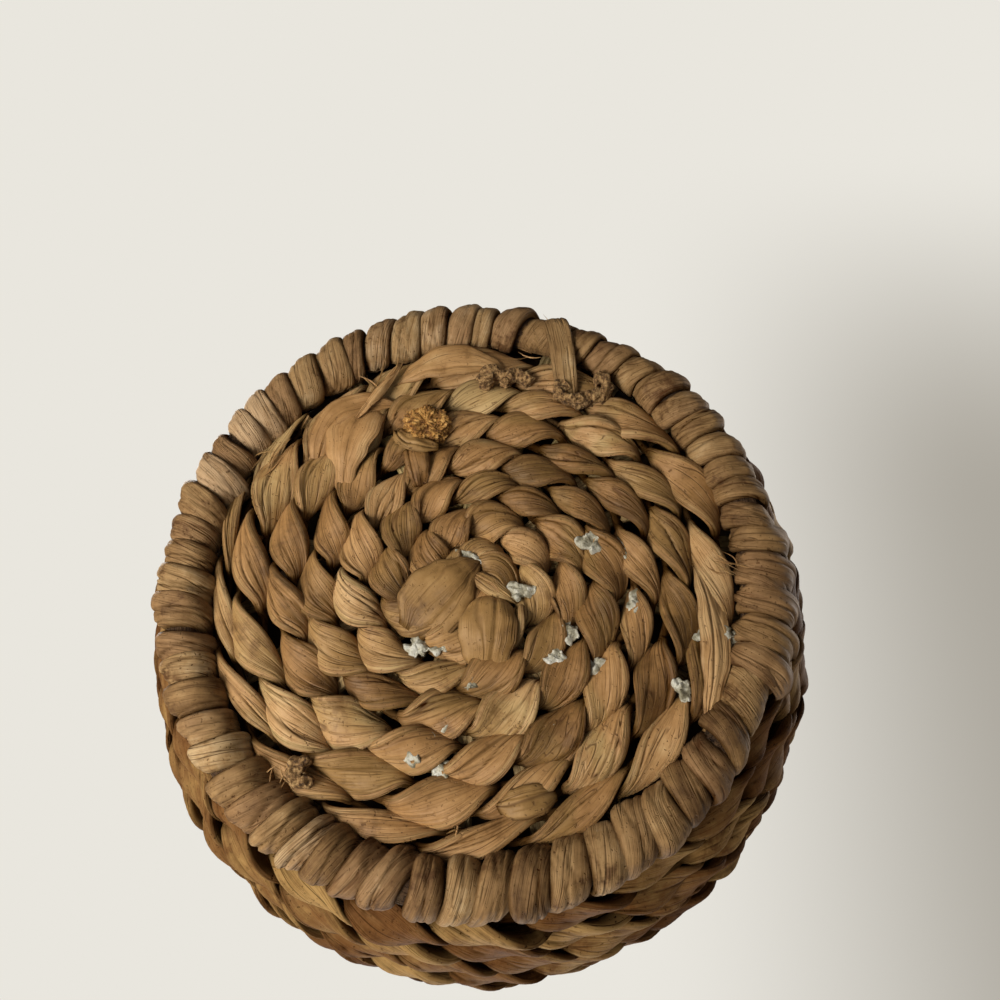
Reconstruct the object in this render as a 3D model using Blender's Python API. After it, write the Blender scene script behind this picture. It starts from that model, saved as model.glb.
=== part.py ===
"""Woven pitcher vase: a plastic liner in a basket of twined water-hyacinth stems.

The vase stands upright on its wrapped foot ring, with +Z up, the spout towards +X and the
handle towards -X. All lengths are in metres.
"""

import math

import bmesh
import bpy
import numpy as np

# Clearances
SEAT_GAP = 0.0003
TURN_GAP = 0.0006
WEAVE_CLEARANCE = 0.0006

# Counts
STAKE_COUNT = 22
FOOT_WRAPS_PER_TURN = 60
WALL_ROWS = 25
BASE_ROWS = 7
SIDES = 8

# Foot ring: a stem core wound with flattened strips
FOOT_MID_RADIUS = 0.0778
FOOT_HALF_HEIGHT = 0.0074
STRIP_THICKNESS = 0.0017
CORE_CLEARANCE = 0.0007

# Base mat, below the stakes and inside the foot ring
MAT_RECESS = 0.0045
MAT_EYE_RADIUS = 0.0025
MAT_EDGE_CLEARANCE = 0.0006

# Stakes: flat ribs from the middle of the base up to the rim
STAKE_WIDTH = 0.0050
STAKE_THICKNESS = 0.0020
LONG_STAKE_START = 0.0105
SHORT_STAKE_START = 0.0205

# Liner profile: radii are those of its outer face
LINER_WALL = 0.0025
LINER_FLAT_INSIDE_FOOT = 0.0038
BELLY_OVERHANG = 0.0245
BELLY_HEIGHT = 0.080
NECK_RADIUS = 0.041
NECK_HEIGHT = 0.228
MOUTH_RADIUS = 0.053
FLARE_HEIGHT = 0.062
SPOUT_REACH = 0.017
SPOUT_RISE = 0.014
LIP_STANDS_ABOVE_HOOP = 0.0020

# Wall weave: rows that spiral up outside the stakes
WEAVE_THICKNESS = 0.0080
WALL_START = 0.0030

# Rim hoop
HOOP_RADIUS = 0.0066
HOOP_CLEARANCE = 0.0006

# Handle: a stem core wound with a strip and lashed to the wall at both ends
HANDLE_CORE_RADIUS = 0.0050
HANDLE_STRAIGHT = 0.015
HANDLE_TOP_BELOW_HOOP = 0.0120
HANDLE_FOOT_ABOVE_BELLY = 0.058
HANDLE_TOP_PULL = 0.075
HANDLE_FOOT_PULL = 0.070
HANDLE_TURNS = 22
HANDLE_SEAT_GAP = 0.0006
LASHING_LENGTH = 0.012
LASHING_THICKNESS = 0.0028

# Loose ends, leaves and adhesive on the underside
LEAF_LENGTH = 0.033
LEAF_WIDTH = 0.019
LEAF_THICKNESS = 0.0028
STUB_RADIUS = 0.0062
STUB_HEIGHT = 0.0030
BEAD_RADIUS = 0.0046
BEAD_THICKNESS = 0.0016
STUB_BORE_SHARE = 0.45

# Shares that shape the profile's curves
HEEL_PULL_SHARES = (0.20, 0.35)
SHOULDER_PULL_SHARES = (0.50, 0.42)
FLARE_PULL_SHARES = (0.42, 0.46, 0.42)
SPOUT_SHARPNESS = 6
ROW_CROWN_SHARE = 0.13
STRIP_CROWN_SHARE = 0.13
MAT_CROWN_SHARE = 0.18
TAPER_SHARE = 0.38

# Foot ring sectors, in wraps from +X towards +Y
LASH_STRAP_START = 3.3
WIDE_WRAP_START = 46.8
STRAP_WRAPS = 1.5

# Places on the underside, as shares of the mat's radius from the vase's axis, and sizes as
# shares of the largest of their kind. Leaves: x, y, length, width, degrees turned
LEAF_SHARES = {
    "fan_leaf": (-0.105, 0.105, 0.72, 0.88, 130),
    "knob_leaf": (0.085, 0.255, 0.50, 0.72, 88),
    "folded_leaf": (-0.530, -0.505, 0.86, 0.87, 92),
}
# Stem ends: x, y, radius
STUB_SHARES = {
    "golden_stub": (-0.205, -0.613, 1.00),
    "curled_end_1": (0.133, -0.825, 0.84),
    "curled_end_2": (0.451, -0.789, 0.90),
    "dark_stub": (-0.550, 0.760, 0.65),
}
# Adhesive beads: x, y, radius
BEAD_SHARES = (
    (0.193, 0.089, 0.83),
    (0.467, -0.112, 0.91),
    (0.030, 0.425, 0.70),
    (0.905, 0.235, 0.88),
    (0.788, 0.444, 0.74),
    (-0.186, 0.683, 0.65),
)

# Heights and radii that follow from the sizes above
APOTHEM = math.cos(math.pi / SIDES)
WRAP_ANGLE = 2 * math.pi / FOOT_WRAPS_PER_TURN
STAKE_STEP = 2 * math.pi / STAKE_COUNT
FOOT_CENTRE_HEIGHT = FOOT_HALF_HEIGHT
FOOT_CORE_RADIUS = FOOT_HALF_HEIGHT - STRIP_THICKNESS - CORE_CLEARANCE
MAT_TOP = 2 * FOOT_HALF_HEIGHT
MAT_EDGE_RADIUS = FOOT_MID_RADIUS - FOOT_HALF_HEIGHT - MAT_EDGE_CLEARANCE
LINER_FLAT_RADIUS = FOOT_MID_RADIUS - LINER_FLAT_INSIDE_FOOT
BELLY_RADIUS = LINER_FLAT_RADIUS + BELLY_OVERHANG
MOUTH_HEIGHT = NECK_HEIGHT + FLARE_HEIGHT
STAKE_BOTTOM = MAT_TOP + SEAT_GAP
LINER_BOTTOM = STAKE_BOTTOM + STAKE_THICKNESS + SEAT_GAP
WEAVE_INSIDE = SEAT_GAP + STAKE_THICKNESS + WEAVE_CLEARANCE
WEAVE_OUTSIDE = WEAVE_INSIDE + WEAVE_THICKNESS
CURVE_SAMPLES = 400
HEEL_STEPS = 4
SHOULDER_STEPS = 8
FLARE_STEPS = 4

STRAW = ("hyacinth_strip", (0.300, 0.185, 0.085), 0.62, 0.0)
WEAVE_TAN = ("hyacinth_weave", (0.270, 0.150, 0.060), 0.60, 0.0)
PALE_STAKE = ("stake_rib", (0.400, 0.290, 0.150), 0.68, 0.0)
CORE_BROWN = ("stem_core", (0.110, 0.065, 0.032), 0.85, 0.0)
LINER_BROWN = ("liner_plastic", (0.055, 0.040, 0.030), 0.45, 0.0)
PITH = ("cut_pith", (0.240, 0.115, 0.028), 0.90, 0.0)
ADHESIVE = ("dried_adhesive", (0.420, 0.410, 0.350), 0.40, 0.0)


def clear_scene():
    """Remove every object that the scene starts with."""
    for obj in list(bpy.data.objects):
        bpy.data.objects.remove(obj, do_unlink=True)


def material(finish):
    """Return the Principled material of a finish: name, colour, roughness, metallic."""
    name, colour, roughness, metallic = finish
    found = bpy.data.materials.get(name)
    if found:
        return found
    made = bpy.data.materials.new(name)
    made.use_nodes = True
    shader = made.node_tree.nodes["Principled BSDF"]
    shader.inputs["Base Color"].default_value = (*colour, 1)
    shader.inputs["Roughness"].default_value = roughness
    shader.inputs["Metallic"].default_value = metallic
    made.diffuse_color = (*colour, 1)
    return made


def finish_mesh(name, bm, finish, carrier, sharp_degrees=50):
    """Turn a bmesh into an object that hangs from the carrier empty."""
    bmesh.ops.recalc_face_normals(bm, faces=bm.faces)
    mesh = bpy.data.meshes.new(name)
    bm.to_mesh(mesh)
    bm.free()
    mesh.shade_smooth()
    mesh.set_sharp_from_angle(angle=math.radians(sharp_degrees))
    mesh.materials.append(material(finish))
    obj = bpy.data.objects.new(name, mesh)
    obj.parent = carrier
    bpy.context.collection.objects.link(obj)
    return obj


def skin(bm, sections, closed=False):
    """Join sections (rings of points, all of one length) into a tube with flat ends.

    Where closed is set, the last section meets the first and there are no ends.
    """
    rings = [[bm.verts.new(point) for point in section] for section in sections]
    count = len(rings)
    sides = len(rings[0])
    for index in range(count if closed else count - 1):
        near = rings[index]
        far = rings[(index + 1) % count]
        for side in range(sides):
            beyond = (side + 1) % sides
            bm.faces.new((near[side], near[beyond], far[beyond], far[side]))
    if not closed:
        bm.faces.new(rings[0][::-1])
        bm.faces.new(rings[-1])


def tube(name, sections, finish, carrier, closed=False):
    """Make one object from the sections of one tube."""
    bm = bmesh.new()
    skin(bm, sections, closed)
    return finish_mesh(name, bm, finish, carrier)


def least_turn_gap(sections, per_turn):
    """Least distance between the points of a winding and those one turn later.

    Each section is walked along its edges at several points, so that the gap between two
    neighbouring strips is measured edge to edge.
    """
    rings = np.array(sections, dtype=float)
    steps = np.linspace(0, 1, 5)[:, None, None, None]
    walked = rings * (1 - steps) + np.roll(rings, -1, axis=1) * steps
    walked = np.moveaxis(walked, 0, 1).reshape(len(rings), -1, 3)
    least = math.inf
    for index in range(len(rings) - per_turn):
        for later in (index + per_turn - 1, index + per_turn):
            apart = walked[index][:, None] - walked[later][None]
            least = min(least, float(np.sqrt((apart**2).sum(axis=2)).min()))
    return least


def cubic(points, steps):
    """Points of a cubic Bezier curve through four control points."""
    first, second, third, fourth = (np.array(point, dtype=float) for point in points)
    t = np.linspace(0, 1, steps)[:, None]
    rest = 1 - t
    return (
        rest**3 * first + 3 * rest**2 * t * second + 3 * rest * t**2 * third + t**3 * fourth
    )


def body_curves():
    """The liner's outer profile, as three curves of (radius, height): heel, shoulder, flare."""
    heel_out, heel_up = HEEL_PULL_SHARES
    belly_up, neck_down = SHOULDER_PULL_SHARES
    neck_up, mouth_in, mouth_down = FLARE_PULL_SHARES
    heel_rise = BELLY_HEIGHT - LINER_BOTTOM
    shoulder_rise = NECK_HEIGHT - BELLY_HEIGHT
    flare_out = MOUTH_RADIUS - NECK_RADIUS
    heel = (
        (LINER_FLAT_RADIUS, LINER_BOTTOM),
        (LINER_FLAT_RADIUS + heel_out * BELLY_OVERHANG, LINER_BOTTOM),
        (BELLY_RADIUS, BELLY_HEIGHT - heel_up * heel_rise),
        (BELLY_RADIUS, BELLY_HEIGHT),
    )
    shoulder = (
        (BELLY_RADIUS, BELLY_HEIGHT),
        (BELLY_RADIUS, BELLY_HEIGHT + belly_up * shoulder_rise),
        (NECK_RADIUS, NECK_HEIGHT - neck_down * shoulder_rise),
        (NECK_RADIUS, NECK_HEIGHT),
    )
    flare = (
        (NECK_RADIUS, NECK_HEIGHT),
        (NECK_RADIUS, NECK_HEIGHT + neck_up * FLARE_HEIGHT),
        (MOUTH_RADIUS - mouth_in * flare_out, MOUTH_HEIGHT - mouth_down * FLARE_HEIGHT),
        (MOUTH_RADIUS, MOUTH_HEIGHT),
    )
    return heel, shoulder, flare


class Body:
    """The liner's outer face as a surface of (angle, way up the profile, stand-off)."""

    def __init__(self):
        """Lay the profile's curves end to end and measure the way along them."""
        curves = [cubic(curve, CURVE_SAMPLES) for curve in body_curves()]
        line = np.vstack([curves[0], curves[1][1:], curves[2][1:]])
        steps = np.hypot(*np.diff(line, axis=0).T)
        self.way = np.concatenate([[0.0], np.cumsum(steps)])
        self.line = line
        slope = np.gradient(line, self.way, axis=0)
        slope /= np.hypot(slope[:, 0], slope[:, 1])[:, None]
        self.out = np.stack([slope[:, 1], -slope[:, 0]], axis=1)
        self.length = float(self.way[-1])
        at_neck = len(curves[0]) + len(curves[1]) - 2
        self.neck_way = float(self.way[at_neck])
        at_belly = len(curves[0]) - 1
        self.belly_way = float(self.way[at_belly])

    def spout(self, angle, way):
        """Share of the spout's reach at this place: it grows from the neck up to the mouth."""
        share = np.clip((way - self.neck_way) / (self.length - self.neck_way), 0, 1)
        grown = share**2 * (3 - 2 * share)
        return grown * np.cos(angle / 2) ** (2 * SPOUT_SHARPNESS)

    def at(self, angle, way, stand_off, chord=0.0):
        """Point of the surface, moved out by stand_off; past its end the profile runs straight.

        chord is the share by which the radius grows, so that a chord clears the round shape.
        """
        past = max(way - self.length, 0)
        radius, height = (np.interp(way, self.way, self.line[:, axis]) for axis in (0, 1))
        out = np.array([np.interp(way, self.way, self.out[:, axis]) for axis in (0, 1)])
        out /= np.hypot(*out)
        spout = float(self.spout(angle, way))
        radius += -past * out[1] + SPOUT_REACH * spout
        height += past * out[0] + SPOUT_RISE * spout
        radius = (radius + stand_off * out[0]) * (1 + chord)
        height += stand_off * out[1]
        return np.array([radius * math.cos(angle), radius * math.sin(angle), height])

    def normal(self, angle, way):
        """Outward direction of the surface at this place, square to the profile."""
        return (self.at(angle, way, LINER_WALL) - self.at(angle, way, 0)) / LINER_WALL


def profile_ways(body):
    """Ways along the profile at which both the liner and the stakes have their points."""
    heel = np.linspace(0, body.belly_way, HEEL_STEPS + 1)
    shoulder = np.linspace(body.belly_way, body.neck_way, SHOULDER_STEPS + 1)[1:]
    flare = np.linspace(body.neck_way, wall_end(body), FLARE_STEPS + 1)[1:]
    return np.concatenate([heel, shoulder, flare])


def stake_angle(index):
    """Angle of a stake: each stands at the middle of a chord of the wall's rows."""
    return (index + 0.5) * STAKE_STEP


def hoop_way(body):
    """Way along the profile at which the hoop's middle lies."""
    return body.length - HOOP_RADIUS


def wall_end(body):
    """Way along the profile at which the wall's rows end, under the hoop."""
    return hoop_way(body) - HOOP_RADIUS - HOOP_CLEARANCE


def make_liner(body, carrier):
    """A thin shell, open at the mouth, with a flat bottom."""
    top = hoop_way(body) + LIP_STANDS_ABOVE_HOOP
    ways = np.append(profile_ways(body), top)
    angles = [stake_angle(index) for index in range(STAKE_COUNT)]
    outer = [[body.at(angle, way, 0) for angle in angles] for way in ways]
    inner = [[body.at(angle, way, -LINER_WALL) for angle in angles] for way in ways[1:]]
    flat = []
    for angle in angles:
        reach = LINER_FLAT_RADIUS
        flat.append((reach * math.cos(angle), reach * math.sin(angle), LINER_BOTTOM + LINER_WALL))
    rings = outer + inner[::-1] + [flat]
    return tube("liner", rings, LINER_BROWN, carrier)


def make_stakes(body, carrier):
    """Flat ribs: along the base from near its middle, round the heel and up to the rim."""
    ways = profile_ways(body)
    half = STAKE_WIDTH / 2
    for index in range(STAKE_COUNT):
        angle = stake_angle(index)
        across = np.array([-math.sin(angle), math.cos(angle), 0]) * half
        start = LONG_STAKE_START if index % 2 == 0 else SHORT_STAKE_START
        outward = np.array([math.cos(angle), math.sin(angle), 0])
        low = outward * start + np.array([0, 0, STAKE_BOTTOM])
        high = low + np.array([0, 0, STAKE_THICKNESS])
        sections = [(low - across, low + across, high + across, high - across)]
        for way in ways:
            far = body.at(angle, way, SEAT_GAP + STAKE_THICKNESS)
            near = body.at(angle, way, SEAT_GAP)
            sections.append((far - across, far + across, near + across, near - across))
        tube(f"stake_{index + 1:02d}", sections, PALE_STAKE, carrier)


def row_edges(turn, turns, pitch):
    """Lower and upper edge of a spiral row, counted from where the first row starts.

    The first and the last turn taper, so that both ends of the spiral lie level.
    """
    low = max(turn - 1, 0) * pitch
    high = min(turn, turns - 1) * pitch
    return low, high


def spiral_stations(first_turn, last_turn):
    """Turns at which a spiral has its points: one for each stake, with both ends."""
    inside = np.arange(
        math.ceil(first_turn * STAKE_COUNT + 0.25), math.ceil(last_turn * STAKE_COUNT - 0.25)
    )
    return np.concatenate([[first_turn], inside / STAKE_COUNT, [last_turn]])


def make_wall_weave(body, carrier):
    """Rows of stems that spiral up the wall outside the stakes, in three lengths."""
    turns = WALL_ROWS + 1
    pitch = (wall_end(body) - WALL_START) / WALL_ROWS
    chord = 1 / math.cos(STAKE_STEP / 2) - 1
    joint = TURN_GAP / (2 * math.pi * BELLY_RADIUS)
    cuts = (TAPER_SHARE, 9.5, 17.5, turns - TAPER_SHARE)
    names = ("wall_weave_lower", "wall_weave_middle", "wall_weave_upper")
    for name, start, stop in zip(names, cuts, cuts[1:]):
        sections = []
        for turn in spiral_stations(start + joint, stop - joint):
            angle = turn * 2 * math.pi
            low, high = row_edges(turn, turns, pitch)
            low += WALL_START + TURN_GAP / 2
            high += WALL_START - TURN_GAP / 2
            crown = ROW_CROWN_SHARE * (high - low)
            sections.append(
                (
                    body.at(angle, low, WEAVE_INSIDE, chord),
                    body.at(angle, low + crown, WEAVE_OUTSIDE, chord),
                    body.at(angle, high - crown, WEAVE_OUTSIDE, chord),
                    body.at(angle, high, WEAVE_INSIDE, chord),
                )
            )
        tube(name, sections, WEAVE_TAN, carrier)
        print(f"{name}: least gap {least_turn_gap(sections, STAKE_COUNT):.5f} m")


def make_base_weave(carrier):
    """Rows of stems that spiral out from the middle of the base, inside the foot ring."""
    turns = BASE_ROWS + 1
    pitch = (MAT_EDGE_RADIUS - MAT_EYE_RADIUS) / BASE_ROWS
    first = TAPER_SHARE
    last = turns - TAPER_SHARE
    sections = []
    for turn in spiral_stations(first, last):
        angle = turn * 2 * math.pi
        low, high = row_edges(turn, turns, pitch)
        low += MAT_EYE_RADIUS + TURN_GAP / 2
        high += MAT_EYE_RADIUS - TURN_GAP / 2
        crown = MAT_CROWN_SHARE * (high - low)
        radii = (low, low + crown, high - crown, high)
        heights = (MAT_TOP, MAT_RECESS, MAT_RECESS, MAT_TOP)
        sections.append(
            [
                (radius * math.cos(angle), radius * math.sin(angle), height)
                for radius, height in zip(radii, heights)
            ]
        )
    tube("base_weave", sections, WEAVE_TAN, carrier)
    print(f"base_weave: least gap {least_turn_gap(sections, STAKE_COUNT):.5f} m")


def ring_point(along, round_angle, reach):
    """Point of the foot ring at an angle along it and one round its tube."""
    radius = FOOT_MID_RADIUS + reach * math.cos(round_angle)
    height = FOOT_CENTRE_HEIGHT + reach * math.sin(round_angle)
    return radius * math.cos(along), radius * math.sin(along), height


def ring_strip_section(along, half_angle, round_angle):
    """Cross-section of a strip on the foot ring: broad inside, narrower at its crown."""
    inside = (FOOT_HALF_HEIGHT - STRIP_THICKNESS) / APOTHEM
    outside = FOOT_HALF_HEIGHT / APOTHEM
    radius = FOOT_MID_RADIUS + inside * math.cos(round_angle)
    half = half_angle - TURN_GAP / (2 * radius)
    crown = half * (1 - 2 * STRIP_CROWN_SHARE)
    return (
        ring_point(along - half, round_angle, inside),
        ring_point(along + half, round_angle, inside),
        ring_point(along + crown, round_angle, outside),
        ring_point(along - crown, round_angle, outside),
    )


def round_stations(turns):
    """Angles round a tube, one for each side, so that a side lies flat at the bottom."""
    count = round(turns * SIDES)
    return [(step + 0.5) * 2 * math.pi / SIDES for step in range(count + 1)]


def make_foot_wrap(name, first_wrap, last_wrap, carrier):
    """One unbroken strip, wound round the core from one wrap's place to another's."""
    turns = last_wrap - first_wrap - 1
    sections = []
    for round_angle in round_stations(turns):
        turn = round_angle / (2 * math.pi) - 0.5 / SIDES
        along = (first_wrap + 0.5 + turn) * WRAP_ANGLE
        sections.append(ring_strip_section(along, WRAP_ANGLE / 2, round_angle))
    tube(name, sections, STRAW, carrier)
    print(f"{name}: least gap {least_turn_gap(sections, SIDES):.5f} m")


def make_foot_strap(name, first_wrap, carrier):
    """A broad strip that goes once round the ring and closes on itself."""
    along = (first_wrap + STRAP_WRAPS / 2) * WRAP_ANGLE
    half_angle = STRAP_WRAPS * WRAP_ANGLE / 2
    sections = [
        ring_strip_section(along, half_angle, round_angle) for round_angle in round_stations(1)[:-1]
    ]
    return tube(name, sections, STRAW, carrier, closed=True)


def make_foot_ring(carrier):
    """The foot: a round core, three windings and the two broad straps between them."""
    core = []
    steps = FOOT_WRAPS_PER_TURN // 2
    for step in range(steps):
        along = step * 2 * math.pi / steps
        angles = round_stations(1)[:-1]
        reach = FOOT_CORE_RADIUS / APOTHEM
        core.append([ring_point(along, round_angle, reach) for round_angle in angles])
    tube("foot_ring_core", core, CORE_BROWN, carrier, closed=True)
    after_lash = LASH_STRAP_START + STRAP_WRAPS
    after_wide = WIDE_WRAP_START + STRAP_WRAPS
    middle = (after_lash + WIDE_WRAP_START) / 2
    make_foot_wrap("foot_wrap_1", after_lash, middle, carrier)
    make_foot_wrap("foot_wrap_2", middle, WIDE_WRAP_START, carrier)
    make_foot_wrap("foot_wrap_3", after_wide, FOOT_WRAPS_PER_TURN + LASH_STRAP_START, carrier)
    make_foot_strap("foot_lash_strap", LASH_STRAP_START, carrier)
    make_foot_strap("foot_wide_strap", WIDE_WRAP_START, carrier)


def make_rim_hoop(body, carrier):
    """The hoop that closes the top edge, outside the liner's lip, with the spout's rise."""
    way = hoop_way(body)
    middle = HOOP_RADIUS + HOOP_CLEARANCE
    reach = HOOP_RADIUS / APOTHEM
    sections = []
    for station in range(2 * STAKE_COUNT):
        angle = station * STAKE_STEP / 2
        sections.append(
            [
                body.at(angle, way + reach * math.sin(turn), middle + reach * math.cos(turn))
                for turn in round_stations(1)[:-1]
            ]
        )
    return tube("rim_hoop", sections, STRAW, carrier, closed=True)


class HandlePath:
    """The handle's middle line, in the plane of the spout and the handle."""

    def __init__(self, body):
        """Run straight out of the wall at both ends, with one smooth bow between."""
        top_way = wall_end(body) - HANDLE_TOP_BELOW_HOOP
        foot_way = body.belly_way + HANDLE_FOOT_ABOVE_BELLY
        chord = 1 / math.cos(STAKE_STEP / 2) - 1
        stand_off = WEAVE_OUTSIDE + HANDLE_SEAT_GAP
        top = body.at(math.pi, top_way, stand_off, chord)
        foot = body.at(math.pi, foot_way, stand_off, chord)
        top_out = body.normal(math.pi, top_way)
        foot_out = body.normal(math.pi, foot_way)
        top_bend = top + HANDLE_STRAIGHT * top_out
        foot_bend = foot + HANDLE_STRAIGHT * foot_out
        bow = cubic(
            (
                top_bend,
                top_bend + HANDLE_TOP_PULL * top_out,
                foot_bend + HANDLE_FOOT_PULL * foot_out,
                foot_bend,
            ),
            CURVE_SAMPLES,
        )
        self.line = np.vstack([top, bow, foot])
        steps = np.sqrt((np.diff(self.line, axis=0) ** 2).sum(axis=1))
        self.way = np.concatenate([[0.0], np.cumsum(steps)])
        self.length = float(self.way[-1])

    def point(self, way):
        """Place on the middle line at a way along it."""
        return np.array([np.interp(way, self.way, self.line[:, axis]) for axis in range(3)])

    def frame(self, way):
        """Unit vectors square to the line: sideways, and in the handle's plane."""
        ahead = self.point(min(way + STRIP_THICKNESS, self.length))
        behind = self.point(max(way - STRIP_THICKNESS, 0))
        along = (ahead - behind) / np.linalg.norm(ahead - behind)
        side = np.array([0.0, 1.0, 0.0])
        return side, np.cross(along, side)

    def off(self, way, turn, reach):
        """Point off the middle line, at an angle round it."""
        side, lift = self.frame(way)
        return self.point(way) + reach * (math.cos(turn) * side + math.sin(turn) * lift)


def make_handle_core(path, carrier):
    """The handle's stem core, from wall to wall."""
    stations = np.concatenate([[0], np.linspace(HANDLE_STRAIGHT, path.length - HANDLE_STRAIGHT, 20)])
    stations = np.append(stations, path.length)
    angles = round_stations(1)[:-1]
    sections = [
        [path.off(way, angle, HANDLE_CORE_RADIUS / APOTHEM) for angle in angles] for way in stations
    ]
    return tube("handle_core", sections, CORE_BROWN, carrier)


def handle_strip_section(path, way, half, turn, reach_in, reach_out, crown_share):
    """Cross-section of a strip on the handle, broad inside and narrower at its crown."""
    crown = half * (1 - 2 * crown_share)
    return (
        path.off(way - half, turn, reach_in),
        path.off(way + half, turn, reach_in),
        path.off(way + crown, turn, reach_out),
        path.off(way - crown, turn, reach_out),
    )


def make_handle_wrap(path, carrier):
    """One unbroken strip, wound round the handle's core between the lashings."""
    start = LASHING_LENGTH + TURN_GAP
    pitch = (path.length - 2 * start) / (HANDLE_TURNS + 1)
    half = (pitch - TURN_GAP) / 2
    inside = (HANDLE_CORE_RADIUS + SEAT_GAP * 2) / APOTHEM
    outside = inside + STRIP_THICKNESS / APOTHEM
    sections = []
    for turn in round_stations(HANDLE_TURNS):
        way = start + pitch * (turn / (2 * math.pi) - 0.5 / SIDES + 0.5)
        sections.append(
            handle_strip_section(path, way, half, turn, inside, outside, STRIP_CROWN_SHARE)
        )
    tube("handle_wrap", sections, STRAW, carrier)
    print(f"handle_wrap: least gap {least_turn_gap(sections, SIDES):.5f} m")


def make_lashing(name, path, way, carrier):
    """A tight band round one end of the handle, against the wall."""
    half = LASHING_LENGTH / 2
    inside = (HANDLE_CORE_RADIUS + SEAT_GAP) / APOTHEM
    outside = inside + LASHING_THICKNESS / APOTHEM
    sections = [
        handle_strip_section(path, way, half, turn, inside, outside, STRIP_CROWN_SHARE)
        for turn in round_stations(1)[:-1]
    ]
    return tube(name, sections, STRAW, carrier, closed=True)


def make_handle(body, carrier):
    """The handle's core, winding and two lashings."""
    path = HandlePath(body)
    make_handle_core(path, carrier)
    make_handle_wrap(path, carrier)
    half = LASHING_LENGTH / 2
    make_lashing("handle_lashing_top", path, half, carrier)
    make_lashing("handle_lashing_foot", path, path.length - half, carrier)


def make_leaf(name, shares, carrier):
    """A flat folded leaf that lies against the underside of the mat."""
    x_share, y_share, length_share, width_share, degrees = shares
    outline_shares = ((0, 0.20), (0.2, 0.72), (0.5, 1), (0.8, 0.78), (1, 0.24))
    turn = math.radians(degrees)
    along = np.array([math.cos(turn), math.sin(turn), 0]) * LEAF_LENGTH * length_share
    across = np.array([-math.sin(turn), math.cos(turn), 0]) * LEAF_WIDTH * width_share
    height = MAT_RECESS - SEAT_GAP - LEAF_THICKNESS / 2
    middle = np.array([x_share * MAT_EDGE_RADIUS, y_share * MAT_EDGE_RADIUS, height])
    sections = []
    for way_share, breadth_share in outline_shares:
        centre = middle + along * (way_share - 0.5)
        half = across * breadth_share / 2
        rise = np.array([0, 0, LEAF_THICKNESS * breadth_share / 2])
        sections.append((centre - half, centre - rise, centre + half, centre + rise))
    return tube(name, sections, STRAW, carrier)


def make_stub(name, shares, carrier):
    """A cut stem end with a hollowed tip, under the mat."""
    x_share, y_share, radius_share = shares
    x = x_share * MAT_EDGE_RADIUS
    y = y_share * MAT_EDGE_RADIUS
    radius = STUB_RADIUS * radius_share
    bore = radius * STUB_BORE_SHARE
    top = MAT_RECESS - SEAT_GAP
    bottom = top - STUB_HEIGHT
    tip = bottom + STUB_HEIGHT / 2
    sections = []
    for reach, height in ((radius, top), (radius, bottom), (bore, bottom), (bore, tip)):
        turns = [side * 2 * math.pi / SIDES for side in range(SIDES)]
        sections.append(
            [(x + reach * math.cos(turn), y + reach * math.sin(turn), height) for turn in turns]
        )
    return tube(name, sections, PITH, carrier)


def make_bead(name, shares, carrier):
    """A flat drop of dried adhesive, under the mat."""
    x_share, y_share, radius_share = shares
    radius = BEAD_RADIUS * radius_share
    place = (
        x_share * MAT_EDGE_RADIUS,
        y_share * MAT_EDGE_RADIUS,
        MAT_RECESS - SEAT_GAP - BEAD_THICKNESS / 2,
    )
    bm = bmesh.new()
    bmesh.ops.create_uvsphere(bm, u_segments=SIDES, v_segments=SIDES // 2, radius=radius)
    bmesh.ops.scale(bm, vec=(1, 1, BEAD_THICKNESS / (2 * radius)), verts=bm.verts)
    bmesh.ops.translate(bm, vec=place, verts=bm.verts)
    return finish_mesh(name, bm, ADHESIVE, carrier)


def stand_on_origin(carrier):
    """Move the whole vase so that the middle of its box stands over the origin."""
    bpy.context.view_layer.update()
    corners = np.vstack([
        [obj.matrix_world @ vertex.co for vertex in obj.data.vertices] for obj in carrier.children
    ])
    low = corners.min(axis=0)
    high = corners.max(axis=0)
    carrier.location.x = -(low[0] + high[0]) / 2
    carrier.location.y = -(low[1] + high[1]) / 2
    bpy.context.view_layer.update()
    print(f"axis at x {carrier.location.x:.6f} y {carrier.location.y:.6f}, size {high - low}")
    print(f"lowest point {low[2]:.7f}")


def main():
    """Build the vase from the floor up."""
    clear_scene()
    carrier = bpy.data.objects.new("vase_axis", None)
    bpy.context.collection.objects.link(carrier)
    body = Body()
    make_foot_ring(carrier)
    make_base_weave(carrier)
    make_stakes(body, carrier)
    make_liner(body, carrier)
    make_wall_weave(body, carrier)
    make_rim_hoop(body, carrier)
    make_handle(body, carrier)
    for name, shares in LEAF_SHARES.items():
        make_leaf(name, shares, carrier)
    for name, shares in STUB_SHARES.items():
        make_stub(name, shares, carrier)
    for index, shares in enumerate(BEAD_SHARES):
        make_bead(f"adhesive_bead_{index + 1}", shares, carrier)
    stand_on_origin(carrier)


main()
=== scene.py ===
"""Dress the woven pitcher vase: twined stems, wound foot, rim and handle, leaves and finishes.

The vase stands upright on its wrapped foot ring, +Z up, spout towards +X, handle towards -X.
All lengths are in metres. Shapes are worked out about the vase's own axis and moved onto the
CAD model's axis when they become meshes.
"""

import logging
import math
from collections.abc import Sequence
from dataclasses import dataclass
from enum import Enum

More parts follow.
